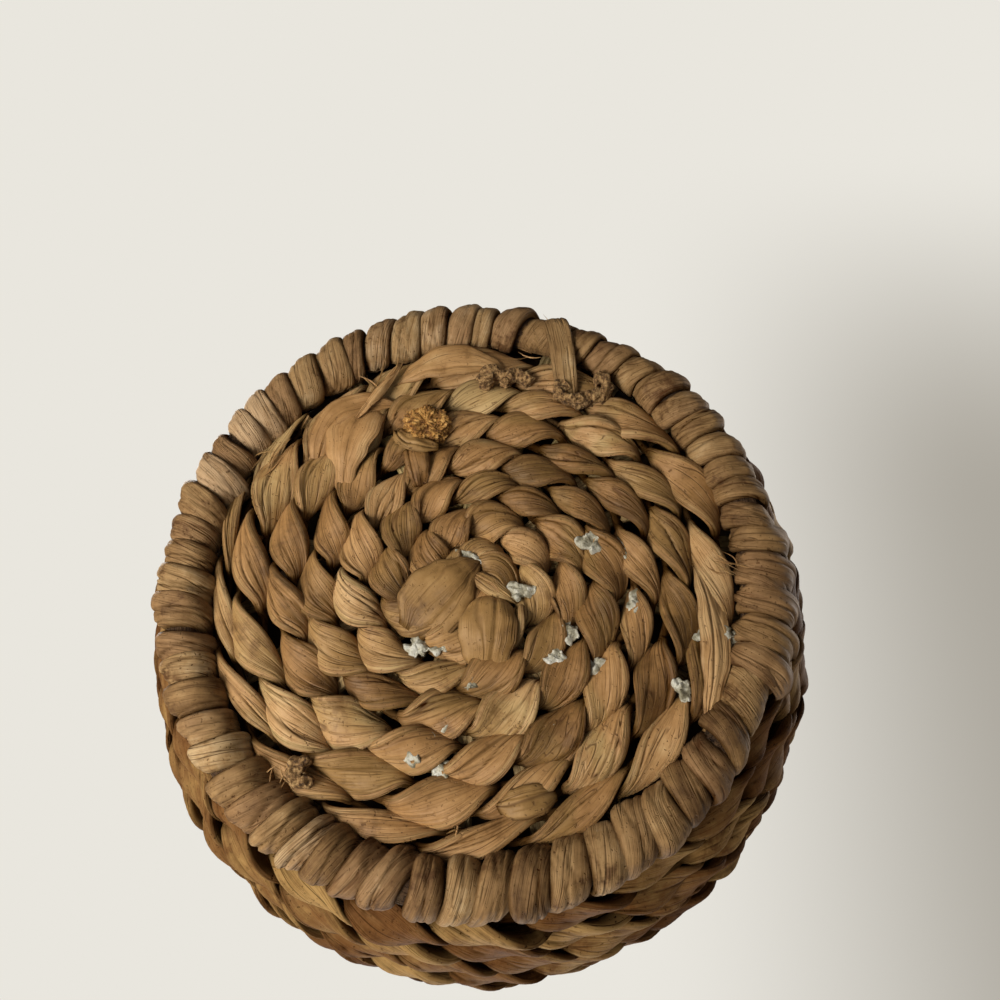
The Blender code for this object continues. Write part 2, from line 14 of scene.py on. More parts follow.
import bpy
import numpy as np
from mathutils import Matrix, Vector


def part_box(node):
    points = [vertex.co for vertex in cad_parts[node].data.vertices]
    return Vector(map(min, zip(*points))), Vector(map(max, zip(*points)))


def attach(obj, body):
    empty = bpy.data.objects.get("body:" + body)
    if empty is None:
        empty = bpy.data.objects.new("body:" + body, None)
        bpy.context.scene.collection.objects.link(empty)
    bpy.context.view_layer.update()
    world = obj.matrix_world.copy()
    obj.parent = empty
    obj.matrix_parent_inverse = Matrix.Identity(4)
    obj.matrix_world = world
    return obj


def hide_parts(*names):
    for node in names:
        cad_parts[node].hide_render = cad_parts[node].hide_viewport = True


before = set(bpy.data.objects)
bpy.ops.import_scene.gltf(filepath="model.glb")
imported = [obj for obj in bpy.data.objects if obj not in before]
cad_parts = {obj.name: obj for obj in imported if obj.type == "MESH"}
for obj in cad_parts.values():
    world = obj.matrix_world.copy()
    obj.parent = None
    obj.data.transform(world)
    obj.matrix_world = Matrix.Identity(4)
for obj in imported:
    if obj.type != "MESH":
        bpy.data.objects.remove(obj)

LOG = logging.getLogger("woven_pitcher_vase")
Array = np.ndarray
Random = np.random.Generator
Colour = tuple[float, float, float]
Point = Sequence[float]
Material = bpy.types.Material
Socket = bpy.types.NodeSocket
MM = 0.001
TURN = 2 * math.pi
UP = np.array([0.0, 0.0, 1.0])
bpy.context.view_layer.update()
AXIS = np.array([*np.mean(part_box("foot_ring_core"), axis=0)[:2], 0.0])
CLEAR = 0.4 * MM  # least height of loose bits over the standing surface


class Slot(Enum):
    """The record's material slots."""

    FOOT = "foot_strip"
    CORE = "stem_core"
    BASE = "base_weave"
    STAKE = "stake_rib"
    LINER = "liner_plastic"
    WALL = "wall_weave"
    RIM = "rim_strip"
    HANDLE = "handle_strip"
    LEAF = "leaf"
    PITH = "cut_pith"
    ADHESIVE = "dried_adhesive"


def unit(vectors: Array) -> Array:
    """Scale vectors to a length of one, along their last axis."""
    return vectors / np.maximum(np.linalg.norm(vectors, axis=-1, keepdims=True), 1e-12)


def smooth(value: Array) -> Array:
    """Ease from 0 to 1 with level ends: three squares less two cubes of the clipped value."""
    held = np.clip(value, 0, 1)
    return held * held * (3 - 2 * held)


def bell(value: Array) -> Array:
    """A bell curve of height one: e to minus the squared value."""
    return np.exp(-(value**2))


def bulge(x: Array, power: float, root: float = 1.0) -> Array:
    """A rise over -1 to 1: one less a power of the distance from the middle, to a root."""
    return np.maximum(1 - np.abs(x) ** power, 0) ** root


def spoke(angle: Array) -> Array:
    """Level unit vectors at angles about the axis."""
    return np.stack([np.cos(angle), np.sin(angle), 0 * angle], -1)


def circle(sides: int) -> Array:
    """Even angles of one full turn, without its end."""
    return np.linspace(0, TURN, sides, endpoint=False)


def way_along(points: Array) -> Array:
    """Distance along a path from its first point: the running sum of its steps."""
    return np.concatenate([[0.0], np.cumsum(np.linalg.norm(np.diff(points, axis=0), axis=1))])


def carry(centre: Array, side: Array, face: Array, across: Array, off: Array) -> Array:
    """Carry a section along a path: its middle, plus side times across, plus face times off."""
    return centre[:, None] + side[:, None] * across[..., None] + face[:, None] * off[..., None]


def bezier(points: Sequence[Point], steps: int) -> Array:
    """Points of a Bezier curve: its control points times the terms of (t + (1 - t)) to n.

    Args:
        points: its n + 1 control points.
        steps: how many points to give.

    Returns:
        The points, one to a row.
    """
    power = len(points) - 1
    counts = np.arange(power + 1)
    choices = np.array([math.comb(power, int(number)) for number in counts])
    t = np.linspace(0, 1, steps)[:, None]
    return (choices * t**counts * (1 - t) ** (power - counts)) @ np.array(points, float)


def eased(knots: Array, place: Array) -> Array:
    """Values at places counted in knots, where eased steps join the knots.

    Args:
        knots: values at the whole places.
        place: places, counted in knots.

    Returns:
        A value for each place.
    """
    low = np.minimum(place.astype(int), len(knots) - 2)
    ease = smooth(place - low)
    return knots[low] * (1 - ease) + knots[low + 1] * ease


def wander(rng: Random, way: Array, spacing: float, size: float) -> Array:
    """A smooth random value along a way, from random knots at a spacing, of a standard size."""
    place = (way - way.min()) / spacing
    return eased(rng.normal(size=int(place.max()) + 3) * size, place)


def draw(rng: Random, count: int, size: float, limit: float = 2.0) -> Array:
    """Draw normal numbers, held within a limit and then scaled."""
    return rng.normal(size=count).clip(-limit, limit) * size


def draw_rise(rng: Random, count: int, mean: float, spread: float) -> Array:
    """Draw heights from normal numbers in millimetres, none below zero."""
    return np.maximum(rng.normal(mean, spread, count), 0) * MM


def lumps(rng: Random, points: Array, *sizes: tuple[float, float]) -> Array:
    """Smooth random lumps in space, of several sizes.

    For each size, nine sine waves in random directions are summed and divided by three.

    Args:
        rng: source of random numbers.
        points: places, with coordinates on the last axis.
        sizes: rough width of a lump, and its height.

    Returns:
        The summed height at each place.
    """
    waves, total = 9, 0.0
    for scale, height in sizes:
        directions = unit(rng.normal(size=(waves, 3))) * rng.uniform(0.6, 1.6, (waves, 1))
        phases = rng.uniform(0, TURN, waves)
        summed = np.sin(points @ directions.T * (TURN / scale) + phases).sum(-1)
        total = total + summed / math.sqrt(waves) * height
    return total


@dataclass
class Tube:
    """A closed surface of rings of points carried along a path.

    Its points are rings[station, side]. The texture runs along it in metres and round it as a
    share of the girth, moved round by slant times the way along. Tone picks a stem's colour,
    and dirt_and_shade darkens where stems press together: painted shade, with some dirt.
    """

    rings: Array
    along: Array
    girth: float
    tone: Array | float = 0.5
    dirt_and_shade: Array | float = 0.0
    closed: bool = False
    slant: float = 0.0

    def parts(self) -> tuple[Array, Array, Array, Array, Array]:
        """Work out the mesh: quads join each ring to the next, and a fan closes each end.

        Returns:
            Points, quad corners, fan corners, textures of quad corners, and tone with tuck.
        """
        count, sides = self.rings.shape[:2]
        points = self.rings.reshape(-1, 3)
        shares = []
        for share in (self.tone, self.dirt_and_shade):
            share = np.asarray(share, float)
            share = share[:, None] if share.ndim == 1 else share
            shares.append(np.broadcast_to(share, (count, sides)).ravel())
        rows = np.arange(count if self.closed else count - 1)
        grids = np.meshgrid(rows, np.arange(sides), indexing="ij")
        station, side = (grid.ravel() for grid in grids)
        here, after, beyond = station * sides, (station + 1) % count * sides, (side + 1) % sides
        quads = np.stack([here + side, here + beyond, after + beyond, after + side], 1)
        way = np.append(self.along, 2 * self.along[-1] - self.along[-2])
        grain_u = way[np.stack([station, station, station + 1, station + 1], 1)]
        grain_v = np.stack([side, side + 1, side + 1, side], 1) / sides * self.girth
        grain = np.stack([grain_u, grain_v + self.slant * grain_u], 2)
        fans = np.zeros((0, 3), int)
        if not self.closed:
            around, last = np.arange(sides), (count - 1) * sides
            ahead, tip = (around + 1) % sides, np.full(sides, len(points))
            fans = np.vstack([np.stack([ahead, around, tip], 1),
                              np.stack([last + around, last + ahead, tip + 1], 1)])
            points = np.vstack([points, self.rings[0].mean(0), self.rings[-1].mean(0)])
            shares = [np.append(share, share[[0, -1]]) for share in shares]
        first, second, third, fourth = points[quads].transpose(1, 0, 2)
        if (first * (np.cross(second, third) + np.cross(third, fourth))).sum() < 0:
            quads, grain, fans = quads[:, ::-1], grain[:, ::-1], fans[:, ::-1]
        return points, quads, fans, grain, np.stack(shares, 1)


def make_piece(name: str, tubes: Sequence[Tube], finish: Material, slot: Slot,
               *nodes: str) -> bpy.types.Object:
    """Make one mesh object from closed tubes, on the vase's body.

    Args:
        name: the piece's name.
        tubes: the surfaces that it is made of.
        finish: its material.
        slot: the record's material slot; not used.
        nodes: CAD nodes that it stands for.

    Returns:
        The new object.
    """
    points, faces, grains, shares = [], [], [], []
    start = 0
    for tube in tubes:
        own_points, quads, fans, grain, share = tube.parts()
        points.append(own_points)
        faces += (quads + start).tolist() + (fans + start).tolist()
        grains += [grain.reshape(-1, 2), np.zeros((len(fans) * 3, 2))]
        shares.append(share)
        start += len(own_points)
    mesh = bpy.data.meshes.new(name)
    mesh.from_pydata(np.vstack(points) + AXIS, [], faces)
    layer = mesh.uv_layers.new(name="grain")
    layer.data.foreach_set("uv", np.vstack(grains).ravel().astype(np.float32))
    for title, values in zip(("tone", "dirt_and_shade"), np.vstack(shares).T):
        attribute = mesh.attributes.new(title, "FLOAT", "POINT")
        attribute.data.foreach_set("value", values.astype(np.float32))
    mesh.shade_smooth()
    mesh.materials.append(finish)
    piece = bpy.data.objects.new(name, mesh)
    bpy.context.scene.collection.objects.link(piece)
    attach(piece, "root")
    if nodes:
        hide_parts(*nodes)
    LOG.info("%s: %d points, %d faces", name, len(mesh.vertices), len(mesh.polygons))
    return piece


class Graph:
    """A node tree that is filled by short calls, most of which return a node's output."""

    def __init__(self, tree: bpy.types.NodeTree) -> None:
        """Keep a material's, the world's or a group's node tree."""
        self.tree = tree

    def add(self, kind: str, inputs: dict | None = None, **settings: object) -> bpy.types.Node:
        """Add a node with its settings and inputs.

        Args:
            kind: the node's type.
            inputs: a value or an output for each input, by name or number.
            settings: properties of the node.

        Returns:
            The new node.
        """
        node = self.tree.nodes.new(kind)
        for key, value in settings.items():
            setattr(node, key, value)
        for key, value in (inputs or {}).items():
            self.feed(node.inputs[key], value)
        return node

    def feed(self, socket: Socket, value: object) -> None:
        """Set an input, or link an output to it.

        Args:
            socket: the input.
            value: its value, or the output.
        """
        if isinstance(value, bpy.types.NodeSocket):
            self.tree.links.new(value, socket)
        else:
            socket.default_value = value

    def maths(self, operation: str, first: object, second: object = 0.0,
              clamp: bool = False) -> Socket:
        """A Math node."""
        settings = {"operation": operation, "use_clamp": clamp}
        return self.add("ShaderNodeMath", {0: first, 1: second}, **settings).outputs[0]

    def times(self, first: object, second: object, clamp: bool = False) -> Socket:
        """A product."""
        return self.maths("MULTIPLY", first, second, clamp)

    def plus(self, first: object, second: object, clamp: bool = False) -> Socket:
        """A sum."""
        return self.maths("ADD", first, second, clamp)

    def largest(self, first: object, *others: object) -> Socket:
        """The largest of several values.

        Args:
            first: a value.
            others: the other values.

        Returns:
            The largest, as an output.
        """
        for other in others:
            first = self.maths("MAXIMUM", first, other)
        return first

    def vectors(self, operation: str, first: object, second: object = (0, 0, 0)) -> Socket:
        """A Vector Math node."""
        terms = {0: first, 1: second}
        return self.add("ShaderNodeVectorMath", terms, operation=operation).outputs[0]

    def vector(self, x: object = 0.0, y: object = 0.0, z: object = 0.0) -> Socket:
        """A vector of three values."""
        return self.add("ShaderNodeCombineXYZ", {0: x, 1: y, 2: z}).outputs[0]

    def mix(self, share: object, first: object, second: object, blend: str = "MIX") -> Socket:
        """A mixed colour."""
        colours = {0: share, 6: first, 7: second}
        return self.add("ShaderNodeMix", colours, data_type="RGBA", blend_type=blend).outputs[2]

    def span(self, value: object, low: float, high: float, start: float = 0.0,
             end: float = 1.0) -> Socket:
        """A value eased from start at low to end at high."""
        ends = {"Value": value, "From Min": low, "From Max": high, "To Min": start, "To Max": end}
        return self.add("ShaderNodeMapRange", ends, interpolation_type="SMOOTHSTEP").outputs[0]

    def ridge(self, value: object, width: float) -> Socket:
        """1 where a value crosses a half, fading to 0 at a width to either side."""
        return self.span(self.maths("ABSOLUTE", self.plus(value, -0.5)), width, 0.0)

    def noise(self, vector: object, scale: float, detail: float, rough: float = 0.5) -> Socket:
        """The value of a Noise texture."""
        looks = {"Vector": vector, "Scale": scale, "Detail": detail, "Roughness": rough}
        return self.add("ShaderNodeTexNoise", looks).outputs[0]

    def ramp(self, share: object, colours: Sequence[Colour]) -> Socket:
        """The colour of a ramp of evenly spaced colours.

        Args:
            share: place along the ramp.
            colours: its colours, from 0 to 1.

        Returns:
            The colour's output.
        """
        node = self.add("ShaderNodeValToRGB", {0: share})
        elements = node.color_ramp.elements
        while len(elements) < len(colours):
            elements.new(1.0)
        for number, colour in enumerate(colours):
            elements[number].position = number / (len(colours) - 1)
            elements[number].color = (*colour, 1)
        return node.outputs[0]

    def place(self) -> Socket:
        """Object coordinates."""
        return self.add("ShaderNodeTexCoord").outputs["Object"]

    def attribute(self, name: str) -> Socket:
        """A mesh attribute's value."""
        node = self.add("ShaderNodeAttribute", attribute_type="GEOMETRY", attribute_name=name)
        return node.outputs["Fac"]


def new_material(name: str) -> tuple[Material, Graph, bpy.types.Node]:
    """Make a material.

    Args:
        name: its name.

    Returns:
        The material, its graph and its Principled shader.
    """
    made = bpy.data.materials.new(name)
    made.use_nodes = True
    return made, Graph(made.node_tree), made.node_tree.nodes["Principled BSDF"]


def tint(red: int, green: int, blue: int) -> Colour:
    """Turn a screen colour into the linear colour that a material takes.

    Args:
        red, green, blue: its parts, 0 to 255.

    Returns:
        The linear colour.
    """
    shares = np.array([red, green, blue]) / 255
    linear = np.where(shares <= 0.04045, shares / 12.92, ((shares + 0.055) / 1.055) ** 2.4)
    return tuple(float(value) for value in linear)


def fibre_group() -> bpy.types.NodeTree:
    """Build the node group of a dried stem's fibres, once.

    Its inputs are the grain (metres along and round the stem), the tone and how fine the
    fibres are. It puts out a shade, a mask of dark lines and specks, a mask of blotches and a
    height. Most are noise stretched along the stem, so that they meet where the stem narrows.
    Thin lines run where such noise crosses a half.

    Returns:
        The group.
    """
    title = "dried stem fibre"
    found = bpy.data.node_groups.get(title)
    if found:
        return found
    group = bpy.data.node_groups.new(title, "ShaderNodeTree")
    for name, kind in (("Grain", "Vector"), ("Tone", "Float"), ("Fineness", "Float")):
        group.interface.new_socket(name=name, in_out="INPUT", socket_type=f"NodeSocket{kind}")
    for name in ("Shade", "Lines", "Blotch", "Height"):
        group.interface.new_socket(name=name, in_out="OUTPUT", socket_type="NodeSocketFloat")
    graph = Graph(group)
    entry = graph.add("NodeGroupInput").outputs
    place = graph.place()
    shift = graph.vector(z=graph.times(entry["Tone"], 13.0))
    grain = graph.vectors("MULTIPLY", entry["Grain"], graph.vector(1.0, entry["Fineness"], 1.0))
    bend = graph.vector(y=graph.times(graph.noise(place, 55.0, 1.0), 0.0016))
    grain = graph.vectors("ADD", grain, bend)

    def fibres(scale: tuple[float, float, float], detail: float, rough: float = 0.5) -> Socket:
        """Noise scaled along, round and by tone."""
        looks = {"Vector": grain, "Scale": scale, "Location": shift}
        return graph.noise(graph.add("ShaderNodeMapping", looks).outputs[0], 1.0, detail, rough)

    streaks = fibres((38, 1150, 1), 3.0, 0.62)
    threads = fibres((70, 3300, 1), 2.0, 0.6)
    bands = fibres((24, 420, 1), 2.0)
    come = fibres((75, 330, 7), 1.0)
    creases = graph.times(graph.ridge(fibres((21, 470, 1), 0.6), 0.036),
                          graph.span(come, 0.44, 0.54))
    veins = graph.times(graph.ridge(fibres((34, 1250, 3), 1.0), 0.045),
                        graph.span(come, 0.60, 0.48))
    specks = graph.noise(place, 620.0, 2.0, 0.6)
    lines = graph.largest(
        graph.span(streaks, 0.37, 0.27, 0.0, 0.8),
        graph.times(graph.span(threads, 0.40, 0.27), 0.40),
        graph.times(veins, 0.50),
        creases,
        graph.span(specks, 0.66, 0.74, 0.0, 0.9),
        graph.span(graph.noise(place, 1050.0, 1.0), 0.68, 0.73, 0.0, 0.9),
    )
    leave = graph.add("NodeGroupOutput").inputs
    shade = graph.plus(graph.times(streaks, 0.35), graph.times(bands, 0.65))
    height = graph.plus(graph.times(streaks, 0.5), graph.times(threads, 0.22))
    height = graph.plus(height, graph.times(lines, -0.42))
    graph.feed(leave["Shade"], shade)
    graph.feed(leave["Lines"], lines)
    graph.feed(leave["Blotch"], graph.noise(place, 75.0, 5.0, 0.72))
    graph.feed(leave["Height"], graph.plus(height, graph.times(specks, 0.05)))
    return group


@dataclass(frozen=True)
class StemFinish:
    """Dried, flattened stem with fibre lines: golden where fresh, and brown where it is pinched,
    which is painted shade with some dirt.
    """

    name: str
    tones: tuple[Colour, ...]
    line: Colour
    stain: Colour
    fineness: float = 1.0
    line_share: float = 0.78
    stain_share: float = 0.45
    roughness: float = 0.55
    relief: float = 0.45 * MM
    # depth: how far dirt_and_shade darkens the colour, as painted shade and dirt
    depth: float = 0.85
    gloss: float = 0.34
    second: Colour = (0.88, 0.94, 0.88)

    def build(self) -> Material:
        """Build the material.

        Returns:
            The finish, whose ramp follows the tone attribute and the fibres' own shade.
        """
        made, graph, shader = new_material(self.name)
        tone, dirt_and_shade = graph.attribute("tone"), graph.attribute("dirt_and_shade")
        grain = graph.add("ShaderNodeUVMap", uv_map="grain").outputs[0]
        fibre = graph.add("ShaderNodeGroup", node_tree=fibre_group())
        for name, value in (("Grain", grain), ("Tone", tone), ("Fineness", self.fineness)):
            graph.feed(fibre.inputs[name], value)
        shade, lines, blotch, height = fibre.outputs
        cloud = graph.plus(graph.times(graph.plus(shade, -0.5), -0.85),
                           graph.times(graph.plus(blotch, -0.5), 1.65))
        colour = graph.ramp(graph.plus(tone, cloud, clamp=True), self.tones)
        other = graph.mix(1.0, colour, (*self.second, 1), "MULTIPLY")
        turn = graph.maths("SINE", graph.times(tone, 46.0))
        colour = graph.mix(graph.span(turn, -0.2, 0.9), colour, other)
        stain = graph.span(blotch, 0.56, 0.66, 0.0, self.stain_share)
        colour = graph.mix(stain, colour, (*self.stain, 1))
        some = graph.span(graph.maths("SINE", graph.times(tone, 91.0)), -0.7, 0.8,
                          self.line_share * 0.35, self.line_share)
        # painted shade and dirt: fibre lines darken more, and the colour goes to a dark brown, as
        # dirt_and_shade rises
        lines = graph.times(graph.times(lines, some), graph.plus(0.80, dirt_and_shade), clamp=True)
        colour = graph.mix(lines, colour, (*self.line, 1))
        dark = (*[part * 0.34 for part in self.line], 1)
        colour = graph.mix(graph.times(dirt_and_shade, self.depth, clamp=True), colour, dark)
        graph.feed(shader.inputs["Base Color"], colour)
        rough = graph.plus(self.roughness - 0.06, graph.times(shade, 0.2))
        rough = graph.plus(rough, graph.times(lines, 0.2), clamp=True)
        graph.feed(shader.inputs["Roughness"], rough)
        graph.feed(shader.inputs["Specular IOR Level"], graph.span(dirt_and_shade, 0.1, 0.8, self.gloss, 0.0))
        bump = graph.add("ShaderNodeBump", {"Height": height, "Distance": self.relief})
        graph.feed(shader.inputs["Normal"], bump.outputs[0])
        return made


def section(front_sides: int, back_sides: int) -> tuple[Array, Array]:
    """Places across a flattened stem, round its face and back, and 1 where they are on the face.

    Half of each place on the face comes from even steps and half from the cosine of even angles.

    Args:
        front_sides: sides of the face.
        back_sides: sides of the back.

    Returns:
        The places and the marks, as rows.
    """
    steps = np.linspace(0, 1, front_sides + 1)
    face = (np.cos(steps * math.pi) + 1 - 2 * steps) / 2
    back = np.cos(np.linspace(math.pi, TURN, back_sides + 1))[1:-1]
    is_front = np.concatenate([np.ones(len(face)), np.zeros(len(back))])
    return np.concatenate([face, back])[None, :], is_front[None, :]


def press_creases(x: Array, lines: Sequence[tuple[Array, Array]], width: float, power: float,
                  full: float, most: float) -> tuple[Array, Array]:
    """Press sharp creases into a face: depth times e to minus the distance over the width.

    Args:
        x: places across the face.
        lines: place and depth of each crease, as columns.
        width: width of a crease.
        power: how much narrower its dark line is.
        full: depth at which its line would be all dark.
        most: darkest shade of a line.

    Returns:
        Heights, which are below zero, and shades.
    """
    heights = shades = 0.0
    for line, depth in lines:
        notch = np.exp(-np.abs(x - line) / width)
        heights = heights - depth * notch
        shades = shades + notch**power * np.clip(depth / full, 0, most)
    return heights, shades


def fold_over(beyond: Array, rise: Array) -> tuple[Array, Array]:
    """Height of a folded flap, an S curve beyond its edge, and shade of the dent beside it."""
    flap = rise / (1 + np.exp(-np.clip(beyond, -30, 30)))
    return flap, bell((beyond + 1.2) / 1.5) * np.clip(rise / (0.8 * MM), 0, 0.6)


@dataclass
class RowPath:
    """The middle of a row of twining, as arrays over its stations.

    across lies in the surface square to the row, and outward leaves the surface. share is the
    row's width over its full width, and stitch the length of one stitch.
    """

    centre: Array
    across: Array
    outward: Array
    share: Array
    stitch: Array


@dataclass(frozen=True)
class Twining:
    """Two flattened stems twisted round each other, one half twist to a stitch.

    swing is how far a stem's middle swings across the row, lift how far it stands before and
    behind the row's middle, crown and back how far its face and back bulge. pinch is the share
    of its width that is left where it dives, and bias lifts the tips of both stems to the front.
    """

    swing: float
    lift: float
    half_width: float
    crown: float
    back: float
    pinch: float
    front_sides: int
    tones: tuple[float, float]
    tone_spread: float
    seed: int
    back_sides: int = 6
    bias: float = 0.33
    creases: int = 3

    def tables(self, strand: int, count: int) -> dict[str, Array]:
        """Draw the numbers of a stem's stitches.

        Args:
            strand: 0 or 1.
            count: how many stitches the stem has.

        Returns:
            Arrays of one value for each stitch.
        """
        rng = np.random.default_rng(self.seed + strand)
        table = {}
        for number in range(self.creases):
            table[f"place_{number}"] = rng.uniform(-0.85, 0.85, count)
            table[f"depth_{number}"] = draw_rise(rng, count, 0.20, 0.26)
        return table | {
            "width": 1 + draw(rng, count, 0.13, 1.7),
            "shift": draw(rng, count, 0.6 * MM),
            "rise": draw(rng, count, 0.4 * MM),
            "swing": 1 + draw(rng, count, 0.24),
            "roll": draw(rng, count, 0.20),
            "skew": rng.uniform(-0.32, 0.32, count),
            "crown": 1 + draw(rng, count, 0.15),
            "fold": rng.choice([-1.0, 1.0], count) * rng.uniform(0.30, 0.75, count),
            "fold_rise": draw_rise(rng, count, 0.22, 0.34),
            "rib": rng.uniform(2.2, 4.4, count),
            "rib_phase": rng.uniform(0, TURN, count),
            "rib_rise": rng.uniform(0.01, 0.07, count) * MM,
            "tone": (self.tones[strand]
                     + rng.normal(size=count) * self.tone_spread).clip(0.02, 0.98),
        }

    def stem(self, row: RowPath, strand: int, first: int, last: int) -> Tube:
        """Work out one stem between two stations; most values are columns over the stations.

        With the twist p, the sine of p is first lifted a little, so that the tips of both stems
        lie side by side in front. s is that sine raised to a power below one with its sign
        kept, and c the cosine that belongs to it. The stem's middle is the row's middle, plus
        swing times a wave near to straight lines across the row, plus lift times s outwards. Its
        broad side lies along (-s, c), so that it lies flat in front and turns over where it
        dives. Its half width is pinch plus the rest times a power of sin p, and its face is
        crowned like a lens, with ribs, sharp creases and a folded edge along it.

        Args:
            row: the row's middle.
            strand: 0 or 1.
            first: first station.
            last: station after the last.

        Returns:
            The stem as a closed tube.
        """
        way, cut = way_along(row.centre), slice(first, last)
        stitch = 0.5 * (row.stitch[1:] + row.stitch[:-1])
        twist = np.concatenate([[0.0], np.cumsum(np.diff(way) / stitch)]) / 2 + 0.5 * strand + 0.1
        index = twist[cut].astype(int)
        part = (twist[cut] - index)[:, None]
        blend = smooth((part - 0.56) / 0.38)
        own = {
            name: values[index, None] * (1 - blend) + values[index + 1, None] * blend
            for name, values in self.tables(strand, int(twist.max()) + 3).items()
        }
        phase = TURN * part
        sine, cosine = (np.sin(phase) + self.bias) / (1 + self.bias), np.cos(phase)
        front = np.maximum(sine, 0)
        skewed = (np.sin(phase + own["skew"] * front) + self.bias) / (1 + self.bias)
        flat_sine = np.sign(sine) * np.abs(sine) ** 0.45
        flat_cosine = np.sign(cosine) * np.sqrt(np.maximum(1 - flat_sine**2, 0))
        straight = np.arcsin(0.95 * cosine) / math.asin(0.95)
        share, across, outward = row.share[cut, None], row.across[cut], row.outward[cut]
        side_way = self.swing * share * own["swing"] * straight + own["shift"] * front
        out_way = self.lift * flat_sine + own["rise"] * front
        centre = row.centre[cut] + across * side_way + outward * out_way
        ahead = unit(np.gradient(centre, axis=0))
        angle = own["roll"] * front
        over = flat_sine * np.cos(angle) + flat_cosine * np.sin(angle)
        up = flat_cosine * np.cos(angle) - flat_sine * np.sin(angle)
        broad = outward * up - across * over
        broad = unit(broad - ahead * (broad * ahead).sum(1, keepdims=True))
        face = np.cross(broad, ahead)
        toward = across * flat_cosine + outward * flat_sine
        face *= np.sign((face * toward).sum(1, keepdims=True))
        half = self.pinch + (1 - self.pinch) * np.abs(skewed) ** 0.85
        half = half * self.half_width * share * np.where(sine > 0, own["width"], 0.9)
        x, is_front = section(self.front_sides, self.back_sides)
        visible, lens = front**0.4, bulge(x, 3.4, 0.6)
        crown = self.crown * own["crown"] * (0.62 + 0.38 * np.abs(sine)) * share**0.5
        ribs = own["rib_rise"] * np.cos(x * math.pi * own["rib"] + own["rib_phase"])
        drift = 0.16 * np.sin(phase * 1.5 + own["rib_phase"])
        lines = [(own[f"place_{number}"] + drift * (-1) ** number, own[f"depth_{number}"])
                 for number in range(self.creases)]
        crease, crease_shade = press_creases(x, lines, 0.045, 1.5, 0.4 * MM, 0.9)
        fold, dent = fold_over(np.sign(own["fold"]) * (x - own["fold"]) / 0.04, own["fold_rise"])
        top = crown * lens + visible * bulge(x, 8) * (ribs + crease + fold)
        height = np.where(is_front > 0, top, -self.back * share**0.5 * lens)
        # painted shade and dirt where a stem dives, at its edges and back, and in creases and dents
        dive = 1 - smooth(front / 0.34)
        rim = smooth((np.abs(x) - 0.80) / 0.2) * 0.72 * is_front + (1 - is_front) * 0.8
        dirt_and_shade = dive * 0.9 + rim * (1 - 0.5 * visible) + (crease_shade + dent) * is_front
        # the tone is lowered along the face's edges, so that they show paler
        pale_edge = bell((np.abs(x) - 0.84) / 0.07) * is_front
        return Tube(carry(centre, broad, face, half * x, height), way[cut], 2.2 * self.half_width,
                    own["tone"] - 0.14 * pale_edge * visible, np.clip(dirt_and_shade, 0, 1))


def even_row(samples: dict[str, Array], step: float) -> dict[str, Array]:
    """Space a path's samples evenly.

    Args:
        samples: arrays over dense samples, of which "centre" holds the places.
        step: distance wanted between stations.

    Returns:
        The same arrays at even distances, as columns where they have more than one axis.
    """
    way = way_along(samples["centre"])
    even = np.linspace(0, way[-1], int(way[-1] / step))
    return {
        name: np.interp(even, way, values) if values.ndim == 1
        else np.stack([np.interp(even, way, column) for column in values.T], axis=1)
        for name, values in samples.items()
    }


def row_edges(turn: Array, turns: float, pitch: float) -> tuple[Array, Array]:
    """Lower and upper edge of a spiral row; its first and last turn taper to nothing."""
    return np.maximum(turn - 1, 0) * pitch, np.minimum(turn, turns - 1) * pitch


@dataclass(frozen=True)
class FootSizes:
    """Sizes of the foot ring, as in the CAD model; starts of its straps are counted in wraps."""

    middle: float = 0.0778
    half_height: float = 0.0074
    gap: float = 0.0006
    wraps: int = 60
    lash_start: float = 3.3
    wide_start: float = 46.8
    strap_wraps: float = 1.5

    @property
    def mat_edge(self) -> float:
        """Radius of the base mat's edge."""
        return self.middle - self.half_height - self.gap


